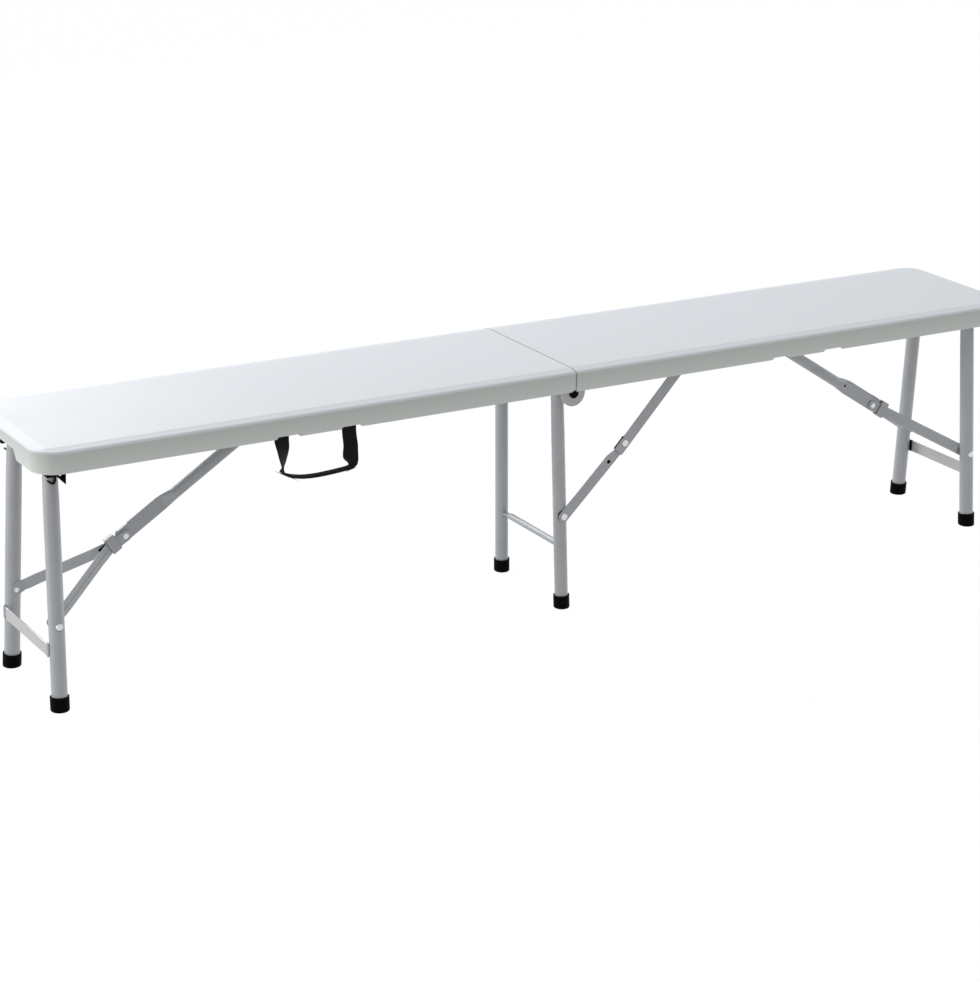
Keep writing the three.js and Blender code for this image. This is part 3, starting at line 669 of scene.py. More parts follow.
def seat_shell():
    """The right half's closed shell, before its cut-outs."""
    sizes = bpy.context.scene.bench_seat
    low, high = SEAT_LOW, SEAT_HIGH
    obj = start("plane", "seat_right", size=1)
    steps = shoulder_steps(sizes)
    skirt_top = high.z - sizes.band_fall - sizes.shoulder
    slack = 0.1 * MM
    with editing(obj):
        resize((high.x - low.x, high.y - low.y, 1))
        shift(((low.x + high.x) / 2, 0, low.z))
        pick("VERT", lambda v: v.co.x > high.x - MM)
        bpy.ops.mesh.bevel(affect="VERTICES", offset=sizes.corner, segments=16, profile=0.5)
        pick_all_faces()
        extrude((0, 0, skirt_top - low.z))
        drop_faces(lambda f: f.normal.x < -0.9)
        pick("FACE", lambda f: f.calc_center_median().z > skirt_top - slack)
        for (inset, rise), (next_inset, next_rise) in zip(steps, steps[1:]):
            bpy.ops.mesh.inset(thickness=next_inset - inset, depth=next_rise - rise,
                               use_boundary=False)
        band = sizes.rim_inset - sizes.rim_width
        for inset, rise in steps[1:]:
            left_over = sizes.corner - inset
            turn = sizes.corner - (sizes.corner - sizes.rim_corner) * inset / band
            share = max(turn, sizes.rim_corner) / left_over
            for sign in (-1, 1):
                corner = Vector((high.x - inset, sign * (high.y - inset), skirt_top + rise))
                pick("VERT", lambda v: abs(v.co.z - corner.z) < 0.02 * MM
                     and v.co.x > corner.x - left_over - slack
                     and v.co.y * sign > corner.y * sign - left_over - slack)
                resize((share, share, 1), corner)
        pick("EDGE", lambda e: e.is_boundary)
        bpy.ops.mesh.edge_face_add()
        pick("FACE", lambda f: f.normal.z < -0.9)
        bpy.ops.mesh.inset(thickness=sizes.wall, depth=0)
        extrude((0, 0, high.z - low.z - sizes.skin))
    outwards(obj)
    return obj


# In millimetres: each opening of the wall at the joint as (inner y, outer y, top), each step in the
# near skirt's lower edge as (first x, last x)
WALL_OPENINGS = ((75.4, 100.0, 399.6), (131.2, 141.5, 406.5))
SKIRT_STEPS = ((388, 424), (494, 534))


def cut_seat(obj):
    """Openings in the wall at the joint, steps in the near skirt, the cut-out in the end skirt."""
    low, high = SEAT_LOW, SEAT_HIGH
    past, wall, rise = 5 * MM, 5.3 * MM, 3.5 * MM
    for inner, outer, top in WALL_OPENINGS:
        for sign in (-1, 1):
            first, last = sorted((sign * inner * MM, sign * outer * MM))
            cut(obj, box_between((low.x - past, first, low.z - past),
                                 (low.x + wall, last, top * MM)))
    for first, last in SKIRT_STEPS:
        cut(obj, box_between((first * MM - rise, low.y - past, low.z - rise),
                             (last * MM + rise, low.y + wall, low.z + rise), top_inset=2 * rise))
    half, deep = 68.5 * MM, 15 * MM
    end = box_between((-half, -5.5 * MM, low.z - deep), (half, past, low.z + deep),
                      top_inset=24.5 * MM)
    settle(end, Matrix.Translation((high.x, 0, 0)) @ Matrix.Rotation(math.pi / 2, 4, "Z"))
    cut(obj, end)


class BenchSeat(bpy.types.Operator):
    """Adds the two moulded seat halves"""
    bl_idname = "bench.seat"
    bl_label = "Seat halves"

    def execute(self, context):
        edge = context.scene.bench_seat.edge
        right = seat_shell()
        cut_seat(right)
        left = twin(right, "seat_left", flipped(-1, 1))
        for sign in (-1, 1):
            relief = box_between((-4 * MM, -4.4 * MM, -16 * MM), (22 * MM, 4.4 * MM, 0))
            settle(relief, Matrix.Translation((-8.5 * MM, sign * 145.6 * MM, SEAT_LOW.z))
                   @ Matrix.Rotation(math.radians(-26.6), 4, "Y"))
            cut(left, relief)
        flat_half = 122 * MM
        for obj, name, side in ((right, "right", 1), (left, "left", -1)):
            rounded(obj, edge, angle=50)
            with editing(obj):
                pick("VERT", lambda v: v.co.x * side < SEAT_LOW.x + edge + 0.1 * MM
                     and v.co.z > SEAT_HIGH.z - 3 * edge and abs(v.co.y) < flat_half)
                resize((0, 1, 1), (side * SEAT_LOW.x, 0, 0))
            finished(obj, f"{name}_half", "seat_plastic", (f"panel_{name}",))
        return {"FINISHED"}


# Legs and feet

LEG_Y = 99 * MM
END_FOOT = Vector((SEAT_HIGH.x - 36.5 * MM, -LEG_Y, 0))
END_TOP = Vector((PIVOTS["right_leg_fold"].x, -69.1 * MM, PIVOTS["right_leg_fold"].z))
MIDDLE_FOOT = Vector((13.4 * MM, -97.5 * MM, 0))
MIDDLE_TOP = Vector((0, -87.7 * MM, PIVOTS["mid_leg_fold"].z))
# A leg's tube starts inside its foot and ends past the rod that it turns on
TUBE_START, TUBE_PAST_ROD = 4 * MM, 8 * MM
ROD_HOLE, AXLE_HOLE, RIVET_HOLE = 4.3 * MM, 4.8 * MM, 3.3 * MM
PAST_ALL = 0.2
HEAD_HEIGHT, HEAD_SEAT = 2.2 * MM, 7.6 * MM


def leg_axes(foot, pivot):
    """Z up along the leg, X towards the bench's end and Y across."""
    up = (pivot - foot).normalized()
    across = up.cross(X_WAY).normalized()
    return axes_at(foot, across.cross(up), across, up)


def leg_tube(name, foot, pivot, radius):
    """A leg whose top is pressed narrow, with a crease down each pressed side."""
    sizes = bpy.context.scene.bench_legs
    span = (pivot - foot).length + TUBE_PAST_ROD
    plain = span - sizes.press_length
    rings = [(between(TUBE_START, plain, step / 12), radius, radius) for step in range(13)]
    pressed = [(between(plain, span, step / 10), smooth_share(step / 10)) for step in range(1, 11)]
    for place, share in pressed:
        rings.append((place, radius - sizes.press_depth * share,
                      radius + sizes.press_depth * 0.8 * share))
    obj = loft(name, rings)
    with editing(obj):
        drop_faces(lambda f: abs(f.normal.z) > 0.9)
        for place, share in pressed:
            for sign in (-1, 1):
                pick("VERT", lambda v: abs(v.co.z - place) < TINY and v.co.y * sign > 0
                     and abs(v.co.x) < 0.12 * radius)
                shift((0, -sign * (sizes.crease * share), 0))
    thickened(obj, sizes.wall, -1)
    return settle(obj, leg_axes(foot, pivot))


def foot_cup(name, foot, pivot, radius):
    """A rubber cup round the end of a leg, cut level at the floor."""
    sizes = bpy.context.scene.bench_legs
    deep, lip, bite, sole = 40 * MM, 1.2 * MM, 0.3 * MM, 5 * MM
    obj = start("cylinder", name, vertices=64, radius=radius + sizes.foot_wall, depth=deep,
                location=(0, 0, sizes.foot_height - deep / 2))
    with editing(obj):
        pick("FACE", lambda f: f.normal.z > 0.9)
        bpy.ops.mesh.inset(thickness=lip, depth=0)
        bpy.ops.mesh.inset(thickness=sizes.foot_wall - lip - bite, depth=-0.8 * MM)
        extrude((0, 0, -(sizes.foot_height - sole)))
    settle(obj, leg_axes(foot, pivot))
    with editing(obj):
        bpy.ops.mesh.bisect(plane_co=(0, 0, 0), plane_no=-Z_WAY, use_fill=True, clear_outer=True)
    outwards(obj)
    with editing(obj):
        pick("EDGE", lambda e: all(abs(v.co.z) < TINY for v in e.verts))
        bpy.ops.mesh.bevel(offset=2.2 * MM, segments=4, profile=0.5)
        bpy.ops.mesh.select_all(action="DESELECT")
    rounded(obj, 0.5 * MM, angle=50)
    return obj


def on_every_leg(end, middle, what, slot):
    """Finishes a piece of the near right leg and one of the near middle leg, and copies them."""
    for place, y_sign in PLACES:
        for name, x_sign, first in (("right", 1, end), ("left", -1, end), ("mid", 1, middle)):
            node = f"{name}_{what}_{place}"
            obj = first
            if place == "far" or name == "left":
                obj = twin(first, f"{node}_seen", flipped(x_sign, -y_sign))
            finished(obj, f"{name}_legs", slot, (node,))


class BenchLegs(bpy.types.Operator):
    """Adds the six leg tubes"""
    bl_idname = "bench.legs"
    bl_label = "Leg tubes"

    def execute(self, context):
        sizes = context.scene.bench_legs
        end = leg_tube("right_leg_near_seen", END_FOOT, END_TOP, sizes.end_radius)
        cut(end, rod_across(END_TOP.x, END_TOP.z, ROD_HOLE, -PAST_ALL, PAST_ALL))
        low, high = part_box("right_leg_rivet_near")
        cut(end, rod_across(*middle_xz(low, high), HEAD_SEAT, low.y - 5 * MM,
                            low.y + HEAD_HEIGHT + sizes.dimple, sides=48))
        middle = leg_tube("mid_leg_near_seen", MIDDLE_FOOT, MIDDLE_TOP, sizes.middle_radius)
        cut(middle, rod_across(0, MIDDLE_TOP.z, AXLE_HOLE, -PAST_ALL, PAST_ALL))
        for tube in (end, middle):
            rounded(tube, 0.3 * MM, segments=1, angle=50)
        on_every_leg(end, middle, "leg", "coated_steel")
        return {"FINISHED"}


class BenchFeet(bpy.types.Operator):
    """Adds the six rubber feet"""
    bl_idname = "bench.feet"
    bl_label = "Rubber feet"

    def execute(self, context):
        sizes = context.scene.bench_legs
        end = foot_cup("right_foot_near_seen", END_FOOT, END_TOP, sizes.end_radius)
        middle = foot_cup("mid_foot_near_seen", MIDDLE_FOOT, MIDDLE_TOP, sizes.middle_radius)
        on_every_leg(end, middle, "foot", "foot_rubber")
        return {"FINISHED"}


def weld_bead(place, radius_x, radius_z, y_way):
    """A low run of weld round a bar's end, thicker at every second step."""
    steps = 48
    obj = start("torus", "bead", major_segments=steps, minor_segments=10, major_radius=1,
                minor_radius=0.11)

    def step_at(point):
        turn = math.atan2(point.y / radius_z, point.x / radius_x)
        return round(turn * steps / (2 * math.pi))

    with editing(obj):
        resize((radius_x, radius_z, radius_x))
        pick("VERT", lambda v: step_at(v.co) % 2 == 0)
        resize((1.03, 1.03, 1.25))
    return settle(obj, looking_along_y(place, y_way))


def end_bar(name, side):
    """The flat bar between the end legs, with welds, a relief slot and on the right a black band
    that paints the shade at its far end.
    """
    low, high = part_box(f"{name}_leg_bar")
    bar = box_between(low, high, f"{name}_leg_bar_seen")
    rounded(bar, 0.7 * MM)
    inner = low.x if side > 0 else high.x
    far, half_slot = LEG_Y - bpy.context.scene.bench_legs.end_radius, 6 * MM
    cut(bar, box_between((inner - half_slot, far - 5.2 * MM, low.z + 0.6 * MM),
                         (inner + half_slot, far - 1.2 * MM, high.z + 2 * MM)))
    x, z = middle_xz(low, high)
    beads = [weld_bead(Vector((x, sign * (far + 1.8 * MM), z)), (high.x - low.x) / 2 + 1.2 * MM,
                       (high.z - low.z) / 2 + 0.8 * MM, sign) for _place, sign in PLACES]
    finished(joined(bar, *beads), f"{name}_legs", "coated_steel", (f"{name}_leg_bar",), "bar_steel")
    if side < 0:
        return
    proud = 0.35 * MM
    # Painted shade: a black band round the right bar's far end stands for the shade there.
    shade_collar = box_between((low.x - proud, far - 7.5 * MM, low.z - proud),
                         (high.x + proud, far - 0.8 * MM, high.z + proud), f"{name}_bar_collar")
    rounded(shade_collar, 0.6 * MM)
    finished(shade_collar, f"{name}_legs", "black_plastic")


class BenchBars(bpy.types.Operator):
    """Adds the cross bars between the legs"""
    bl_idname = "bench.bars"
    bl_label = "Cross bars"

    def execute(self, context):
        for name, side in SIDES:
            end_bar(name, side)
        low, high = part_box("mid_leg_bar")
        radius, pressed, thin = (high.z - low.z) / 2, 22 * MM, 1.6 * MM
        press_start = high.y - pressed
        rings = [(between(low.y, press_start, step / 5), radius, radius) for step in range(6)]
        rings += [(press_start + pressed * 0.6 * step / 4,
                   between(radius, thin, smooth_share(step / 4)), radius) for step in range(1, 5)]
        rings.append((high.y, thin, radius))
        bar = loft("mid_leg_bar_seen", rings, sides=32)
        rounded(bar, 0.5 * MM, angle=60)
        x, z = middle_xz(low, high)
        settle(bar, axes_at(Vector((x, 0, z)), Z_WAY, X_WAY, Y_WAY))
        finished(bar, "mid_legs", "coated_steel", ("mid_leg_bar",))
        return {"FINISHED"}


# End braces

LINK_PIVOT = PIVOTS["right_link_turn"]
ELBOW = PIVOTS["right_elbow_turn"]
# The elbow's rivet sits this far below the link's middle line
RIVET_OFFSET = 3 * MM
LINK_SPAN = math.hypot(ELBOW.x - LINK_PIVOT.x, LINK_PIVOT.z - ELBOW.z)
LINK_REACH = math.sqrt(LINK_SPAN ** 2 - RIVET_OFFSET ** 2)
LINK_SLOPE = (math.atan2(LINK_PIVOT.z - ELBOW.z, ELBOW.x - LINK_PIVOT.x)
              - math.asin(RIVET_OFFSET / LINK_SPAN))


def rod_at(place, across, radius):
    """A cutter along Y at a place along a member and across it."""
    return rod_across(across, place, radius, -40 * MM, 40 * MM)


def end_link(sizes):
    """The tube that flattens towards the elbow, with the lip that halts it at the elbow; Z runs
    down it.
    """
    radius, thin, half = sizes.tube_radius, sizes.paddle_thickness / 2, sizes.paddle_width / 2
    lower, taper, tip_radius = sizes.tube_lower, 32 * MM, 6 * MM
    flat_start = LINK_REACH - 68 * MM
    round_end = flat_start - taper

    def flattened(step):
        """The place, the share of the flattening and the half thickness at a tenth of the taper."""
        share = smooth_share(step / 10) ** 0.55
        return round_end + taper * step / 10, share, between(radius, thin, share)

    rings = [(-10 * MM, radius, radius, 0.0, -lower)]
    rings += [(between(0, round_end, step / 8), radius, radius, 0.0, -lower) for step in range(9)]
    for step in range(1, 11):
        place, share, edge = flattened(step)
        rings.append((place, edge, edge, (half - thin) * share, -lower * (1 - share)))
    tip = LINK_REACH + 12 * MM - tip_radius
    rings += [(between(flat_start, tip, step / 4), thin, thin, half - thin) for step in range(1, 5)]
    rings += tip_rings(tip, half, thin, thin, tip_radius, 1)[1:]
    obj = loft("link", rings)
    with editing(obj):
        for step in range(2, 10):
            place, share, edge = flattened(step)
            aside = lower * (1 - share)
            pick("VERT", lambda v: abs(v.co.z - place) < TINY and abs(v.co.x + aside) < 2 * MM
                 and v.co.y < 0)
            shift((0, 0.5 * edge * math.sin(math.pi * (step - 1) / 9), 0))
    lip = box_between((half - 1.5 * MM, -thin - 3.4 * MM, LINK_REACH - 14 * MM),
                      (half - 0.02 * MM, thin * 0.5, LINK_REACH + 6 * MM), "lip")
    rounded(lip, 0.5 * MM, segments=3)
    added(obj, lip)
    cut(obj, rod_at(LINK_REACH, -RIVET_OFFSET, RIVET_HOLE))
    cut(obj, rod_at(0, 0, ROD_HOLE))
    return obj


def end_arm(sizes, sign, span, ear_inner):
    """An arm from the elbow, bent out to its leg, with a rib outside; Z runs down it."""
    half, thick, edge = sizes.arm_width / 2, sizes.arm_thickness / 2, 0.6 * MM
    inner, outer = 1.2 * MM + thick, ear_inner + thick
    fork, ear = 33 * MM, span - 12 * MM
    radius = half - edge - 0.2 * MM
    bends = [(fork * 0.5, 0), (fork - 4 * MM, 0), (fork, 0.02), (fork + 5 * MM, 0.06),
             (ear - 5 * MM, 0.94), (ear, 1), (ear + 5 * MM, 1)]
    bends += [(between(fork, ear, step / 6), step / 6) for step in range(1, 6)]
    bends = [(place, between(inner, outer, share)) for place, share in sorted(bends)]
    rings = tip_rings(-half + radius, half, thick, edge, radius, -1, sign * inner)[::-1]
    rings += [(place, edge, thick, half - edge, 0.0, sign * y) for place, y in bends]
    rings += tip_rings(span + half - radius, half, thick, edge, radius, 1, sign * outer)
    obj = loft("arm", rings, sides=32)
    rib = [(place, 0.4 * MM, thick, 1.6 * MM, -2.2 * MM, sign * (y + 0.8 * MM))
           for place, y in bends if 20 * MM < place < ear]
    added(obj, loft("rib", rib, sides=16))
    cut(obj, rod_at(0, 0, RIVET_HOLE))
    return obj


def faced_outwards(obj):
    """Turns the faces of a skin that is open, or not yet thick, one way."""
    with editing(obj):
        bpy.ops.mesh.normals_make_consistent(inside=False)


def lock_sleeve(sizes):
    """A closed ring of flat stock round the roots of the arms; Z runs along the link."""
    half, deep = sizes.paddle_width / 2 + 1.5 * MM, 6 * MM
    obj = start("plane", "sleeve", size=1)
    with editing(obj):
        resize((2 * half, 2 * deep, 1))
        shift((0, 0, LINK_REACH + 15 * MM))
        bpy.ops.mesh.bevel(affect="VERTICES", offset=2.6 * MM, segments=5, profile=0.5)
        pick_all_faces()
        extrude((0, 0, 16 * MM))
        drop_faces(lambda f: abs(f.normal.z) > 0.9)
    faced_outwards(obj)
    thickened(obj, sizes.sleeve_wall, -1)
    outwards(obj)
    rounded(obj, 0.25 * MM, angle=50)
    return obj


def rivet_head(radius, height, deep):
    """A low round head whose top looks along Z, on a short shank."""
    obj = start("cylinder", "head", vertices=40, radius=radius, depth=height + deep,
                location=(0, 0, (height - deep) / 2))
    with editing(obj):
        pick("EDGE", lambda e: all(v.co.z > height - TINY for v in e.verts))
        bpy.ops.mesh.bevel(offset=min(height, radius) * 0.85, segments=6, profile=0.55)
        pick("FACE", lambda f: f.normal.z > 0.98 and f.calc_area() > 0.2 * radius ** 2)
        bpy.ops.mesh.inset(thickness=radius * 0.16, depth=-0.15 * MM)
    return obj


def head_on(obj, name, x, y, z, y_way):
    """A copy of a head at a place, looking along Y."""
    return twin(obj, name, looking_along_y(Vector((x, y, z)), y_way))


def joined(first, *others):
    """The pieces as one, under the first one's name."""
    activate(first)
    for other in others:
        other.select_set(True)
    bpy.ops.object.join()
    return first


class BenchEndBraces(bpy.types.Operator):
    """Adds the end braces: link, arms, lock sleeve and elbow rivet"""
    bl_idname = "bench.end_braces"
    bl_label = "End braces"

    def execute(self, context):
        sizes = context.scene.bench_braces
        rivet_x, rivet_z = middle_xz(*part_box("right_leg_rivet_near"))
        span = math.hypot(rivet_x - ELBOW.x, ELBOW.z - rivet_z)
        slope = math.atan2(ELBOW.z - rivet_z, rivet_x - ELBOW.x)
        ear_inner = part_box("right_arm_far")[1].y - sizes.arm_thickness
        link = end_link(sizes)
        sleeve = lock_sleeve(sizes)
        arms = {place: end_arm(sizes, sign, span, ear_inner) for place, sign in PLACES}
        head = rivet_head(4.8 * MM, 1.1 * MM, 0.6 * MM)
        ear_head = rivet_head(4.2 * MM, 0.8 * MM, 1 * MM)
        for name, side in SIDES:
            pivot = Vector((side * LINK_PIVOT.x, 0, LINK_PIVOT.z))
            elbow = Vector((side * ELBOW.x, 0, ELBOW.z))
            link_frame = along_slope(pivot, LINK_SLOPE, side)
            arm_frame = along_slope(elbow, slope, side)
            own = twin(link, f"{name}_link_seen", link_frame)
            hole = link_frame @ Vector((0.6 * MM, 0, LINK_REACH - 79 * MM))
            cut(own, rod_across(hole.x, hole.z, 2.3 * MM, *sorted((0, -side * 20 * MM))))
            finished(own, f"{name}_link", "coated_steel", (f"{name}_link",))
            # Painted shade: a black plug in the hole stands for the shade inside it.
            hole_shade_plug = rod_across(hole.x, hole.z, 2.4 * MM,
                              *sorted((-side * 0.35 * MM, side * 0.2 * MM)), f"{name}_link_bush")
            rounded(hole_shade_plug, 0.1 * MM)
            finished(hole_shade_plug, f"{name}_link", "black_plastic")
            finished(twin(sleeve, f"{name}_lock_sleeve_seen", link_frame), f"{name}_lock",
                     "coated_steel", (f"{name}_lock_sleeve",))
            for place, sign in PLACES:
                arm = twin(arms[place], f"{name}_arm_{place}_seen", arm_frame)
                finished(arm, f"{name}_arms", "coated_steel", (f"{name}_arm_{place}",))
                ear = head_on(ear_head, f"{name}_ear_rivet_{place}", side * rivet_x,
                              sign * ear_inner, rivet_z, -sign)
                finished(ear, f"{name}_arms", "zinc_rivet")
            tongue = box_between((-8.6 * MM, -0.8 * MM, 8 * MM), (8.6 * MM, 0.8 * MM, 47 * MM),
                                 f"{name}_link_tongue")
            rounded(tongue, 0.5 * MM)
            settle(tongue, arm_frame)
            finished(tongue, f"{name}_link", "black_plastic")
            both = joined(*(head_on(head, f"{name}_elbow_rivet_{place}_seen", elbow.x,
                                    sign * 3.4 * MM, elbow.z, sign) for place, sign in PLACES))
            both.name = f"{name}_elbow_rivet_seen"
            finished(both, f"{name}_arms", "zinc_rivet", (f"{name}_elbow_rivet",))
        for obj in (link, sleeve, head, ear_head, *arms.values()):
            bpy.data.objects.remove(obj)
        return {"FINISHED"}


class BenchLegRivets(bpy.types.Operator):
    """Adds the rivets' heads on the legs"""
    bl_idname = "bench.leg_rivets"
    bl_label = "Leg rivets"

    def execute(self, context):
        head = rivet_head(5.5 * MM, HEAD_HEIGHT, 4 * MM)
        tail = rivet_head(3 * MM, 1 * MM, 4 * MM)
        sunk = 0.8 * MM
        for name, _side in SIDES:
            for place, sign in PLACES:
                node = f"{name}_leg_rivet_{place}"
                low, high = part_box(node)
                x, z = middle_xz(low, high)
                outer, inner = (low.y, high.y) if sign < 0 else (high.y, low.y)
                first = head_on(head, f"{node}_seen", x, outer - sign * (HEAD_HEIGHT + sunk), z,
                                sign)
                second = head_on(tail, "tail", x, inner + sign * MM, z, -sign)
                finished(joined(first, second), f"{name}_legs", "zinc_rivet", (node,))
        bpy.data.objects.remove(head)
        bpy.data.objects.remove(tail)
        dressed("mid_leg_rivet", "zinc_rivet", 0.4 * MM, segments=3)
        return {"FINISHED"}


# Middle brace

# The middle planes of the two links, and the lower one's spare hole from its elbow
LOWER_Y, UPPER_Y = -106.65 * MM, -109.45 * MM
LOWER_HOLE = 41 * MM


def flat_link(name, span, half, thick, middle_y, first_end, radius, neck=None):
    """A flat link, Z along it from the elbow; a neck is (its end, full width's start, inset)."""
    edge = 0.5 * MM
    round_end = half - edge - 0.2 * MM
    last = span + half - round_end

    def width_at(place):
        """The half width and the shift of the middle, because a neck is cut from one side."""
        if not neck:
            return half, 0.0
        share = min(max((place - neck[0]) / (neck[1] - neck[0]), 0), 1)
        inset = neck[2] * (1 - share)
        return half - inset / 2, -inset / 2

    size, aside = width_at(first_end)
    tip = tip_rings(first_end + radius, size, thick, edge, min(radius, size - edge - 0.2 * MM), -1)
    rings = [(*ring[:4], aside, middle_y) for ring in tip[::-1]]
    places = [between(first_end + radius, last, step / 8) for step in range(1, 8)]
    for place in sorted([*places, *(neck or ())[:2]]):
        size, aside = width_at(place)
        rings.append((place, edge, thick, size - edge, aside, middle_y))
    rings += tip_rings(last, half, thick, edge, round_end, 1, middle_y)
    return loft(name, rings, sides=32)


class BenchMiddleBrace(bpy.types.Operator):
    """Adds the middle brace: two flat links, their rivets and the pin"""
    bl_idname = "bench.middle_brace"
    bl_label = "Middle brace"

    def execute(self, context):
        sizes = context.scene.bench_braces
        elbow, pin = PIVOTS["mid_elbow_turn"], PIVOTS["mid_link_turn"]
        elbow_place = Vector((elbow.x, 0, elbow.z))
        x, z = middle_xz(*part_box("mid_leg_rivet"))
        rivet = Vector((x, 0, z))
        half, thick = sizes.middle_width / 2, sizes.middle_thickness / 2

        fall, run = elbow.z - rivet.z, elbow.x - rivet.x
        lower_frame = along_slope(elbow_place, math.atan2(fall, run), -1)
        lower = flat_link("mid_lower_link_seen", math.hypot(run, fall), half, thick, LOWER_Y, -half,
                          half - 0.7 * MM, neck=(17 * MM, 35 * MM, 5 * MM))
        cut(lower, rod_across(0, LOWER_HOLE, 3.4 * MM, LOWER_Y - 5 * MM, LOWER_Y + 5 * MM))
        # Painted shade: a black plug in the spare hole stands for the shade inside it.
        hole_shade_plug = rod_across(0, LOWER_HOLE, 3.6 * MM, LOWER_Y - 0.3 * MM, LOWER_Y + 1.6 * MM,
                          "mid_link_bush")
        rounded(hole_shade_plug, 0.3 * MM)
        finished(settle(hole_shade_plug, lower_frame), "mid_lower", "black_plastic")
        finished(settle(lower, lower_frame), "mid_lower", "coated_steel", ("mid_lower_link",))

        fall, run = elbow.z - pin.z, pin.x - elbow.x
        upper_frame = along_slope(elbow_place, math.atan2(fall, run), 1)
        upper = flat_link("mid_upper_link_seen", math.hypot(run, fall), half, thick, UPPER_Y,
                          -19 * MM, 1.2 * MM)
        # Painted shade: a black strip along the upper link's lip stands for the shade of the groove
        # beside it.
        shade_strip = box_between((half + 0.5 * MM, UPPER_Y - thick + 0.2 * MM, -19 * MM),
                           (half + 1.8 * MM, UPPER_Y + thick, 7 * MM), "mid_stop_lip")
        rounded(shade_strip, 0.4 * MM)
        root = box_between((0, UPPER_Y - thick + 0.3 * MM, -15 * MM),
                           (half + 1.2 * MM, UPPER_Y + thick - 0.3 * MM, 3 * MM), "lip")
        rounded(root, 0.3 * MM)
        added(upper, root)
        finished(settle(shade_strip, upper_frame), "mid_upper", "black_plastic")
        finished(settle(upper, upper_frame), "mid_upper", "coated_steel", ("mid_upper_link",))

        head = rivet_head(5.7 * MM, 1.4 * MM, 0.6 * MM)
        outer = head_on(head, "mid_elbow_rivet_seen", elbow.x, UPPER_Y - thick, elbow.z, -1)
        inner = head_on(head, "inner", elbow.x, LOWER_Y + thick, elbow.z, 1)
        finished(joined(outer, inner), "mid_lower", "zinc_rivet", ("mid_elbow_rivet",))
        foot = head_on(head, "mid_lower_rivet_head", rivet.x, LOWER_Y - thick, rivet.z, -1)
        finished(foot, "mid_lower", "zinc_rivet")
        aside = 0.9 * MM
        washer = rod_across(rivet.x - aside, rivet.z + aside, half + 0.2 * MM,
                            LOWER_Y + thick - 0.1 * MM, LOWER_Y + thick + 0.9 * MM,
                            "mid_lower_washer", sides=48)
        rounded(washer, 0.2 * MM)
        finished(washer, "mid_lower", "black_plastic")
        bpy.data.objects.remove(head)
        dressed("mid_link_pin", "zinc_steel", 0.5 * MM, segments=3)
        return {"FINISHED"}


# Hinge and underside

# The height of the hinge plates' arms, the radius of their discs, the caps' share of the CAD caps
PLATE_LOW, PLATE_HIGH = 396 * MM, 414 * MM
DISC_RADIUS = 21.5 * MM
CAP_SHARE = 0.82


class BenchHinge(bpy.types.Operator):
    """Adds the hinge plates, the axle and its caps"""
    bl_idname = "bench.hinge"
    bl_label = "Centre hinge"

    def execute(self, context):
        axle = PIVOTS["centre_fold"]
        for place, sign in PLACES:
            for name, side in SIDES:
                node = f"hinge_plate_{name}_{place}"
                low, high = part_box(node)
                disc = rod_across(axle.x, axle.z, DISC_RADIUS, low.y, high.y, f"{node}_seen",
                                  sides=96)
                first, last = sorted((0, side * max(abs(low.x), abs(high.x))))
                arm = box_between((first, low.y, PLATE_LOW), (last, high.y, PLATE_HIGH), "arm")
                added(disc, arm)
                rounded(disc, 0.4 * MM, angle=50)
                finished(disc, f"{name}_half", "plate_steel", (node,))
            cap = dressed(f"hinge_cap_{place}", "black_plastic", 0.8 * MM, segments=3)
            with editing(cap):
                resize((CAP_SHARE, 1, CAP_SHARE), axle)
        dressed("hinge_axle", "zinc_steel", 0.5 * MM)
        return {"FINISHED"}


# The hook below a left block, as (x, z) in millimetres
HOOK_PATH = ((-868.0, 372), (-867.8, 364), (-868.2, 359.8), (-869.8, 357.2), (-872.2, 356.6),
             (-875.4, 358.6), (-880.2, 362.6))


def leg_block(name, place):
    """The block at a leg's top, cut off above the skirt's edge or, on the left, in a step below."""
    obj = dressed(f"{name}_leg_block_{place}", "black_plastic", 1.0 * MM)
    low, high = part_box(f"{name}_leg_block_{place}")
    past = 5 * MM
    x, z = low.x - past, low.z - past
    cuts = {
        "right": ((x, z, high.x + past, 377 * MM),),
        "left": ((x, z, -864.5 * MM, 370.5 * MM), (-866 * MM, 366.6 * MM, -857.5 * MM, 372.5 * MM)),
    }
    for x_low, z_low, x_high, z_high in cuts[name]:
        cut(obj, box_between((x_low, low.y - past, z_low), (x_high, high.y + past, z_high)))


def leg_hook(place, sign):
    """The open hook below a left leg's block."""
    hook = start("plane", "hook", size=1)
    first, last = sorted((sign * 85.4 * MM, sign * 88.6 * MM))
    points = [Vector((x * MM, 0, z * MM)) for x, z in HOOK_PATH]
    with editing(hook):
        pick("VERT", lambda v: v.co.x > 0)
        bpy.ops.mesh.delete(type="VERT")
        bpy.ops.mesh.select_all(action="SELECT")
        shift((0.5, 0, 0))
        resize((1, last - first, 1))
        shift(points[0] + Vector((0, (first + last) / 2, 0)))
        for point, after in zip(points, points[1:]):
            extrude(after - point)
    faced_outwards(hook)
    thickened(hook, 2.5 * MM, 0)
    outwards(hook)
    rounded(hook, 0.5 * MM, angle=60)
    finished(hook, "left_legs", "black_plastic")
    hook.name = f"left_leg_hook_{place}"


class BenchUnderside(bpy.types.Operator):
    """Adds the rails, rods, leg blocks and hooks under the seat"""
    bl_idname = "bench.underside"
    bl_label = "Rails, rods and blocks"

    def execute(self, context):
        for name, _side in SIDES:
            for place, sign in PLACES:
                dressed(f"rail_{name}_{place}", "coated_steel", 1.2 * MM)
                leg_block(name, place)
                if name == "left":
                    leg_hook(place, sign)
            dressed(f"{name}_pivot_rod", "zinc_steel", 0.5 * MM)
            dressed(f"{name}_link_rod", "zinc_steel", 0.5 * MM)
        return {"FINISHED"}


# Handle

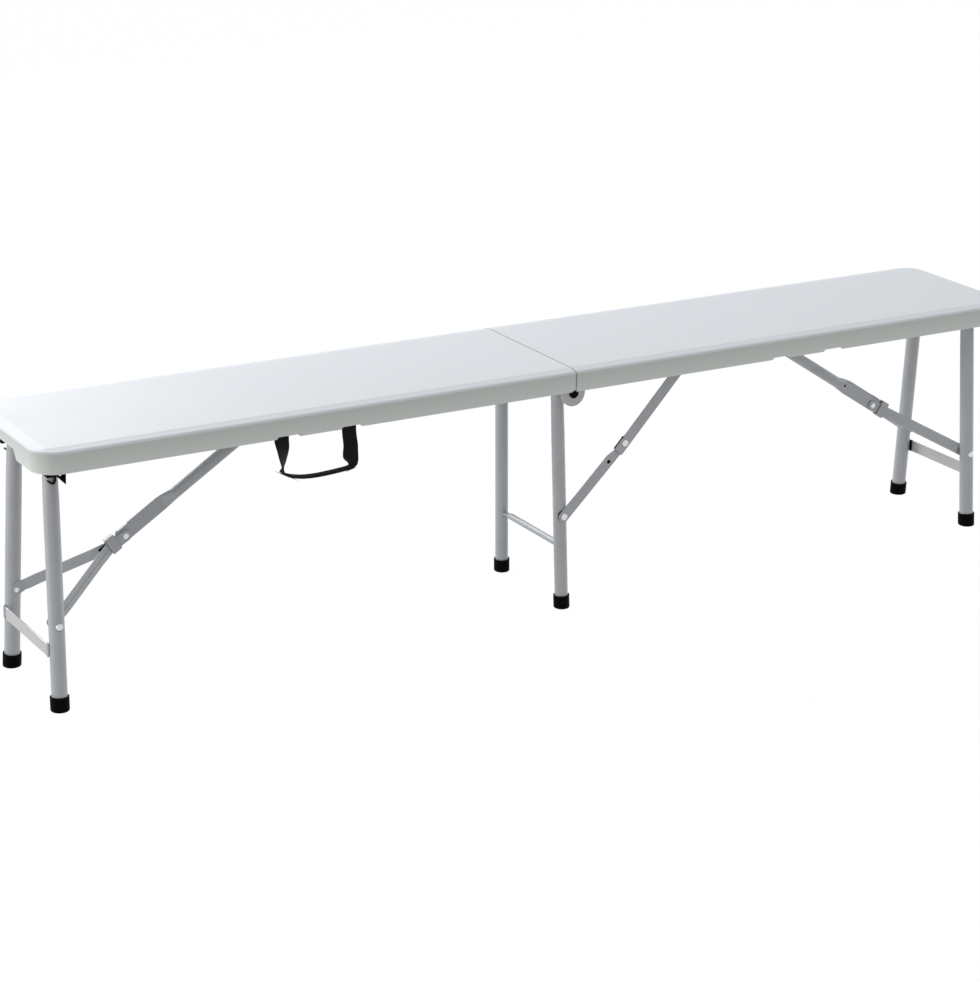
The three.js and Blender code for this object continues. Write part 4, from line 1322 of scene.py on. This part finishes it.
# Places along the webbing in millimetres, each with the turn of its width from X towards Y in
# degrees and the share by which it is folded along its middle
HANDLE_PATH = (
    (-521.9, -138.2, 408, 0, 0), (-521.9, -138.2, 394, 0, 0), (-521.6, -138.2, 383, 2, 0),
    (-519.4, -138.0, 370, 17, 0), (-518.8, -137.9, 354, 40, 0), (-518.7, -137.9, 342, 58, 0),
    (-519.6, -138.2, 335.0, 78, 0), (-519.8, -139.0, 331.4, 90, 0.08),
    (-514.0, -143.0, 329.2, 90, 0.85), (-505.0, -144.0, 326.6, 90, 1),
    (-490.0, -144.0, 323.6, 90, 1), (-470.0, -144.0, 322.2, 90, 1), (-450.0, -144.0, 322.6, 90, 1),
    (-430.0, -144.0, 323.8, 90, 1), (-412.0, -143.5, 325.2, 90, 0.95),
    (-404.5, -141.0, 325.8, 90, 0.5), (-402.0, -139.0, 329.0, 98, 0.1),
    (-403.6, -138.4, 337.0, 132, 0), (-404.2, -138.2, 347.0, 164, 0),
    (-404.0, -138.2, 360.0, 176, 0), (-406.0, -138.2, 376.0, 180, 0),
    (-406.9, -138.2, 388.0, 180, 0), (-406.9, -138.2, 408, 180, 0),
)


def curve_through(points, steps):
    """Places on a smooth curve through rows of numbers."""
    rows = list(points)
    rows = [rows[0] * 2 - rows[1], *rows, rows[-1] * 2 - rows[-2]]
    found = []
    for a, b, c, d in zip(rows, rows[1:], rows[2:], rows[3:]):
        for step in range(steps):
            t = step / steps
            found.append(0.5 * (2 * b + (c - a) * t + (2 * a - 5 * b + 4 * c - d) * t ** 2
                                + (3 * b - a - 3 * c + d) * t ** 3))
    found.append(rows[-2])
    return found


def webbing_mesh(sizes):
    """The webbing's open skin with its map in metres, and its length along the path."""
    rows = curve_through([np.array(row, dtype=float) for row in HANDLE_PATH], 6)
    places = [Vector(row[:3]) * MM for row in rows]
    across, gap, crease = 12, 1.3 * MM, 1.8 * MM
    form = bmesh.new()
    chart = form.loops.layers.uv.new("Strap")
    run, lines, runs = 0.0, [], []
    for index, (place, row) in enumerate(zip(places, rows)):
        ahead = places[min(index + 1, len(places) - 1)] - places[max(index - 1, 0)]
        if index:
            run += (place - places[index - 1]).length
        turn, fold = math.radians(row[3]), min(max(row[4], 0), 1)
        way = Vector((math.cos(turn), math.sin(turn), 0))
        normal = ahead.cross(way).normalized()
        line = []
        for i in range(across + 1):
            aside = sizes.width * (i / across - 0.5)
            depth = abs(aside)
            layer = math.copysign(gap * min(depth / crease, 1), aside)
            flat = way * aside
            doubled = way * (depth - sizes.width / 4) + normal * layer
            line.append(form.verts.new(place + flat * (1 - fold) + doubled * fold))
        lines.append(line)
        runs.append(run)
    for j in range(len(lines) - 1):
        for i in range(across):
            corners = ((j, i), (j, i + 1), (j + 1, i + 1), (j + 1, i))
            face = form.faces.new([lines[a][b] for a, b in corners])
            for loop, (a, b) in zip(face.loops, corners):
                loop[chart].uv = (sizes.width * b / across, runs[a])
    mesh = bpy.data.meshes.new("handle_webbing")
    form.to_mesh(mesh)
    form.free()
    return mesh, run


class BenchHandle(bpy.types.Operator):
    """Adds the webbing handle"""
    bl_idname = "bench.handle"
    bl_label = "Webbing handle"

    def execute(self, context):
        sizes = context.scene.bench_handle
        mesh, run = webbing_mesh(sizes)
        obj = bpy.data.objects.new("handle_webbing", mesh)
        context.scene.collection.objects.link(obj)
        thickened(obj, sizes.thickness, 0)
        rounded(obj, 0.5 * MM, angle=60)
        outwards(obj)
        mesh.materials.append(finish_of("webbing"))
        activate(obj)
        bpy.ops.object.shade_smooth_by_angle(angle=SMOOTH_ANGLE)
        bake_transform(obj)
        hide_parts("handle_strap", "handle_anchor_left", "handle_anchor_right")
        return {"FINISHED"}


# Stage

def camera_like_the_photograph(scene):
    """The camera solved from the photograph: where it stands, how it turns and its focal length."""
    place = Vector((-2.28021, -3.70592, 1.68591))
    yaw, pitch, roll = (math.radians(angle) for angle in (30.803, 19.133, 0.944))
    focal_pixels, frame_pixels, sensor = 2755.1, 981, 36
    data = bpy.data.cameras.new("camera")
    camera = bpy.data.objects.new("camera", data)
    scene.collection.objects.link(camera)
    ahead = Vector((math.sin(yaw) * math.cos(pitch), math.cos(yaw) * math.cos(pitch),
                    -math.sin(pitch)))
    level = Vector((math.cos(yaw), -math.sin(yaw), 0))
    upright = level.cross(ahead)
    right = level * math.cos(roll) + upright * math.sin(roll)
    up = upright * math.cos(roll) - level * math.sin(roll)
    camera.matrix_world = axes_at(place, right, up, -ahead)
    data.sensor_width = sensor
    data.lens = focal_pixels / frame_pixels * sensor
    data.clip_end = 60
    scene.camera = camera


def lamp(name, place, target, size, power):
    """A soft rectangular lamp that looks at a target."""
    data = bpy.data.lights.new(name, "AREA")
    data.shape = "RECTANGLE"
    data.size, data.size_y = size
    data.energy = power
    obj = bpy.data.objects.new(name, data)
    bpy.context.scene.collection.objects.link(obj)
    obj.visible_camera = False
    obj.location = place
    obj.rotation_euler = (Vector(target) - Vector(place)).to_track_quat("-Z", "Y").to_euler()


def seen_directly(finish):
    """One for what the camera sees itself, in a gloss or through glass, and zero for soft light."""
    seen = finish.node("ShaderNodeLightPath", {}, {}, "Is Camera Ray")
    return seen.larger(seen.also("Is Glossy Ray")).larger(seen.also("Is Transmission Ray"))


class BenchStage(bpy.types.Operator):
    """Adds the floor, the lamps, the background and the camera"""
    bl_idname = "bench.stage"
    bl_label = "Floor, lamps and camera"

    def execute(self, context):
        scene = context.scene
        scene.view_settings.view_transform = "Standard"
        camera_like_the_photograph(scene)
        floor = start("plane", "floor", size=40)
        finish = Finish(bpy.data.materials.new("floor"))
        seen = seen_directly(finish)
        tone = finish.node("ShaderNodeBsdfDiffuse", {}, {"Color": (0.5, 0.5, 0.5)})
        glow = finish.node("ShaderNodeEmission", {}, {"Color": (1.0, 1.0, 1.0), "Strength": 1.05})
        finish.show(finish.node("ShaderNodeMixShader", {}, {0: seen * 0.93, 1: tone, 2: glow}))
        floor.data.materials.append(finish.owner)

        scene.world = bpy.data.worlds.new("studio")
        finish = Finish(scene.world)
        strength = finish.node("ShaderNodeMapRange", {}, {
            "Value": seen_directly(finish), "To Min": 0.54, "To Max": 1.0})
        finish.show(finish.node("ShaderNodeBackground", {}, {
            "Color": (1, 1, 1), "Strength": strength}), "World")

        under_seat = (0, 0, 0.3)
        lamp("top_lamp", (-0.8, 3.0, 2.2), under_seat, (3.0, 1.6), power=90)
        lamp("left_lamp", (-3.4, 0.9, 0.21), (-0.5, 0, 0.3), (1.2, 0.4), power=18)
        lamp("right_lamp", (6.5, 1.2, 0.21), under_seat, (2.5, 0.4), power=100)
        return {"FINISHED"}


PIECES = (
    BenchSeat, BenchLegs, BenchFeet, BenchBars, BenchEndBraces, BenchLegRivets, BenchMiddleBrace,
    BenchHinge, BenchUnderside, BenchHandle, BenchStage,
)


class BenchPanel(bpy.types.Panel):
    """Lists the bench's pieces and the stage"""
    bl_idname = "VIEW3D_PT_bench"
    bl_label = "Folding bench"
    bl_space_type = "VIEW_3D"
    bl_region_type = "UI"
    bl_category = "Bench"

    def draw(self, context):
        for piece in PIECES:
            self.layout.operator(piece.bl_idname)
        for name, group in GROUPS.items():
            box = self.layout.box()
            for key in group.__annotations__:
                box.prop(getattr(context.scene, name), key)


def register():
    for group in GROUPS.values():
        bpy.utils.register_class(group)
    for piece in PIECES:
        bpy.utils.register_class(piece)
    bpy.utils.register_class(BenchPanel)
    for name, group in GROUPS.items():
        setattr(bpy.types.Scene, name, PointerProperty(type=group))


def unregister():
    for name in GROUPS:
        delattr(bpy.types.Scene, name)
    bpy.utils.unregister_class(BenchPanel)
    for piece in reversed(PIECES):
        bpy.utils.unregister_class(piece)
    for group in reversed(list(GROUPS.values())):
        bpy.utils.unregister_class(group)


def main():
    register()
    for piece in PIECES:
        group, name = piece.bl_idname.split(".")
        getattr(getattr(bpy.ops, group), name)()


if __name__ == "__main__":
    main()
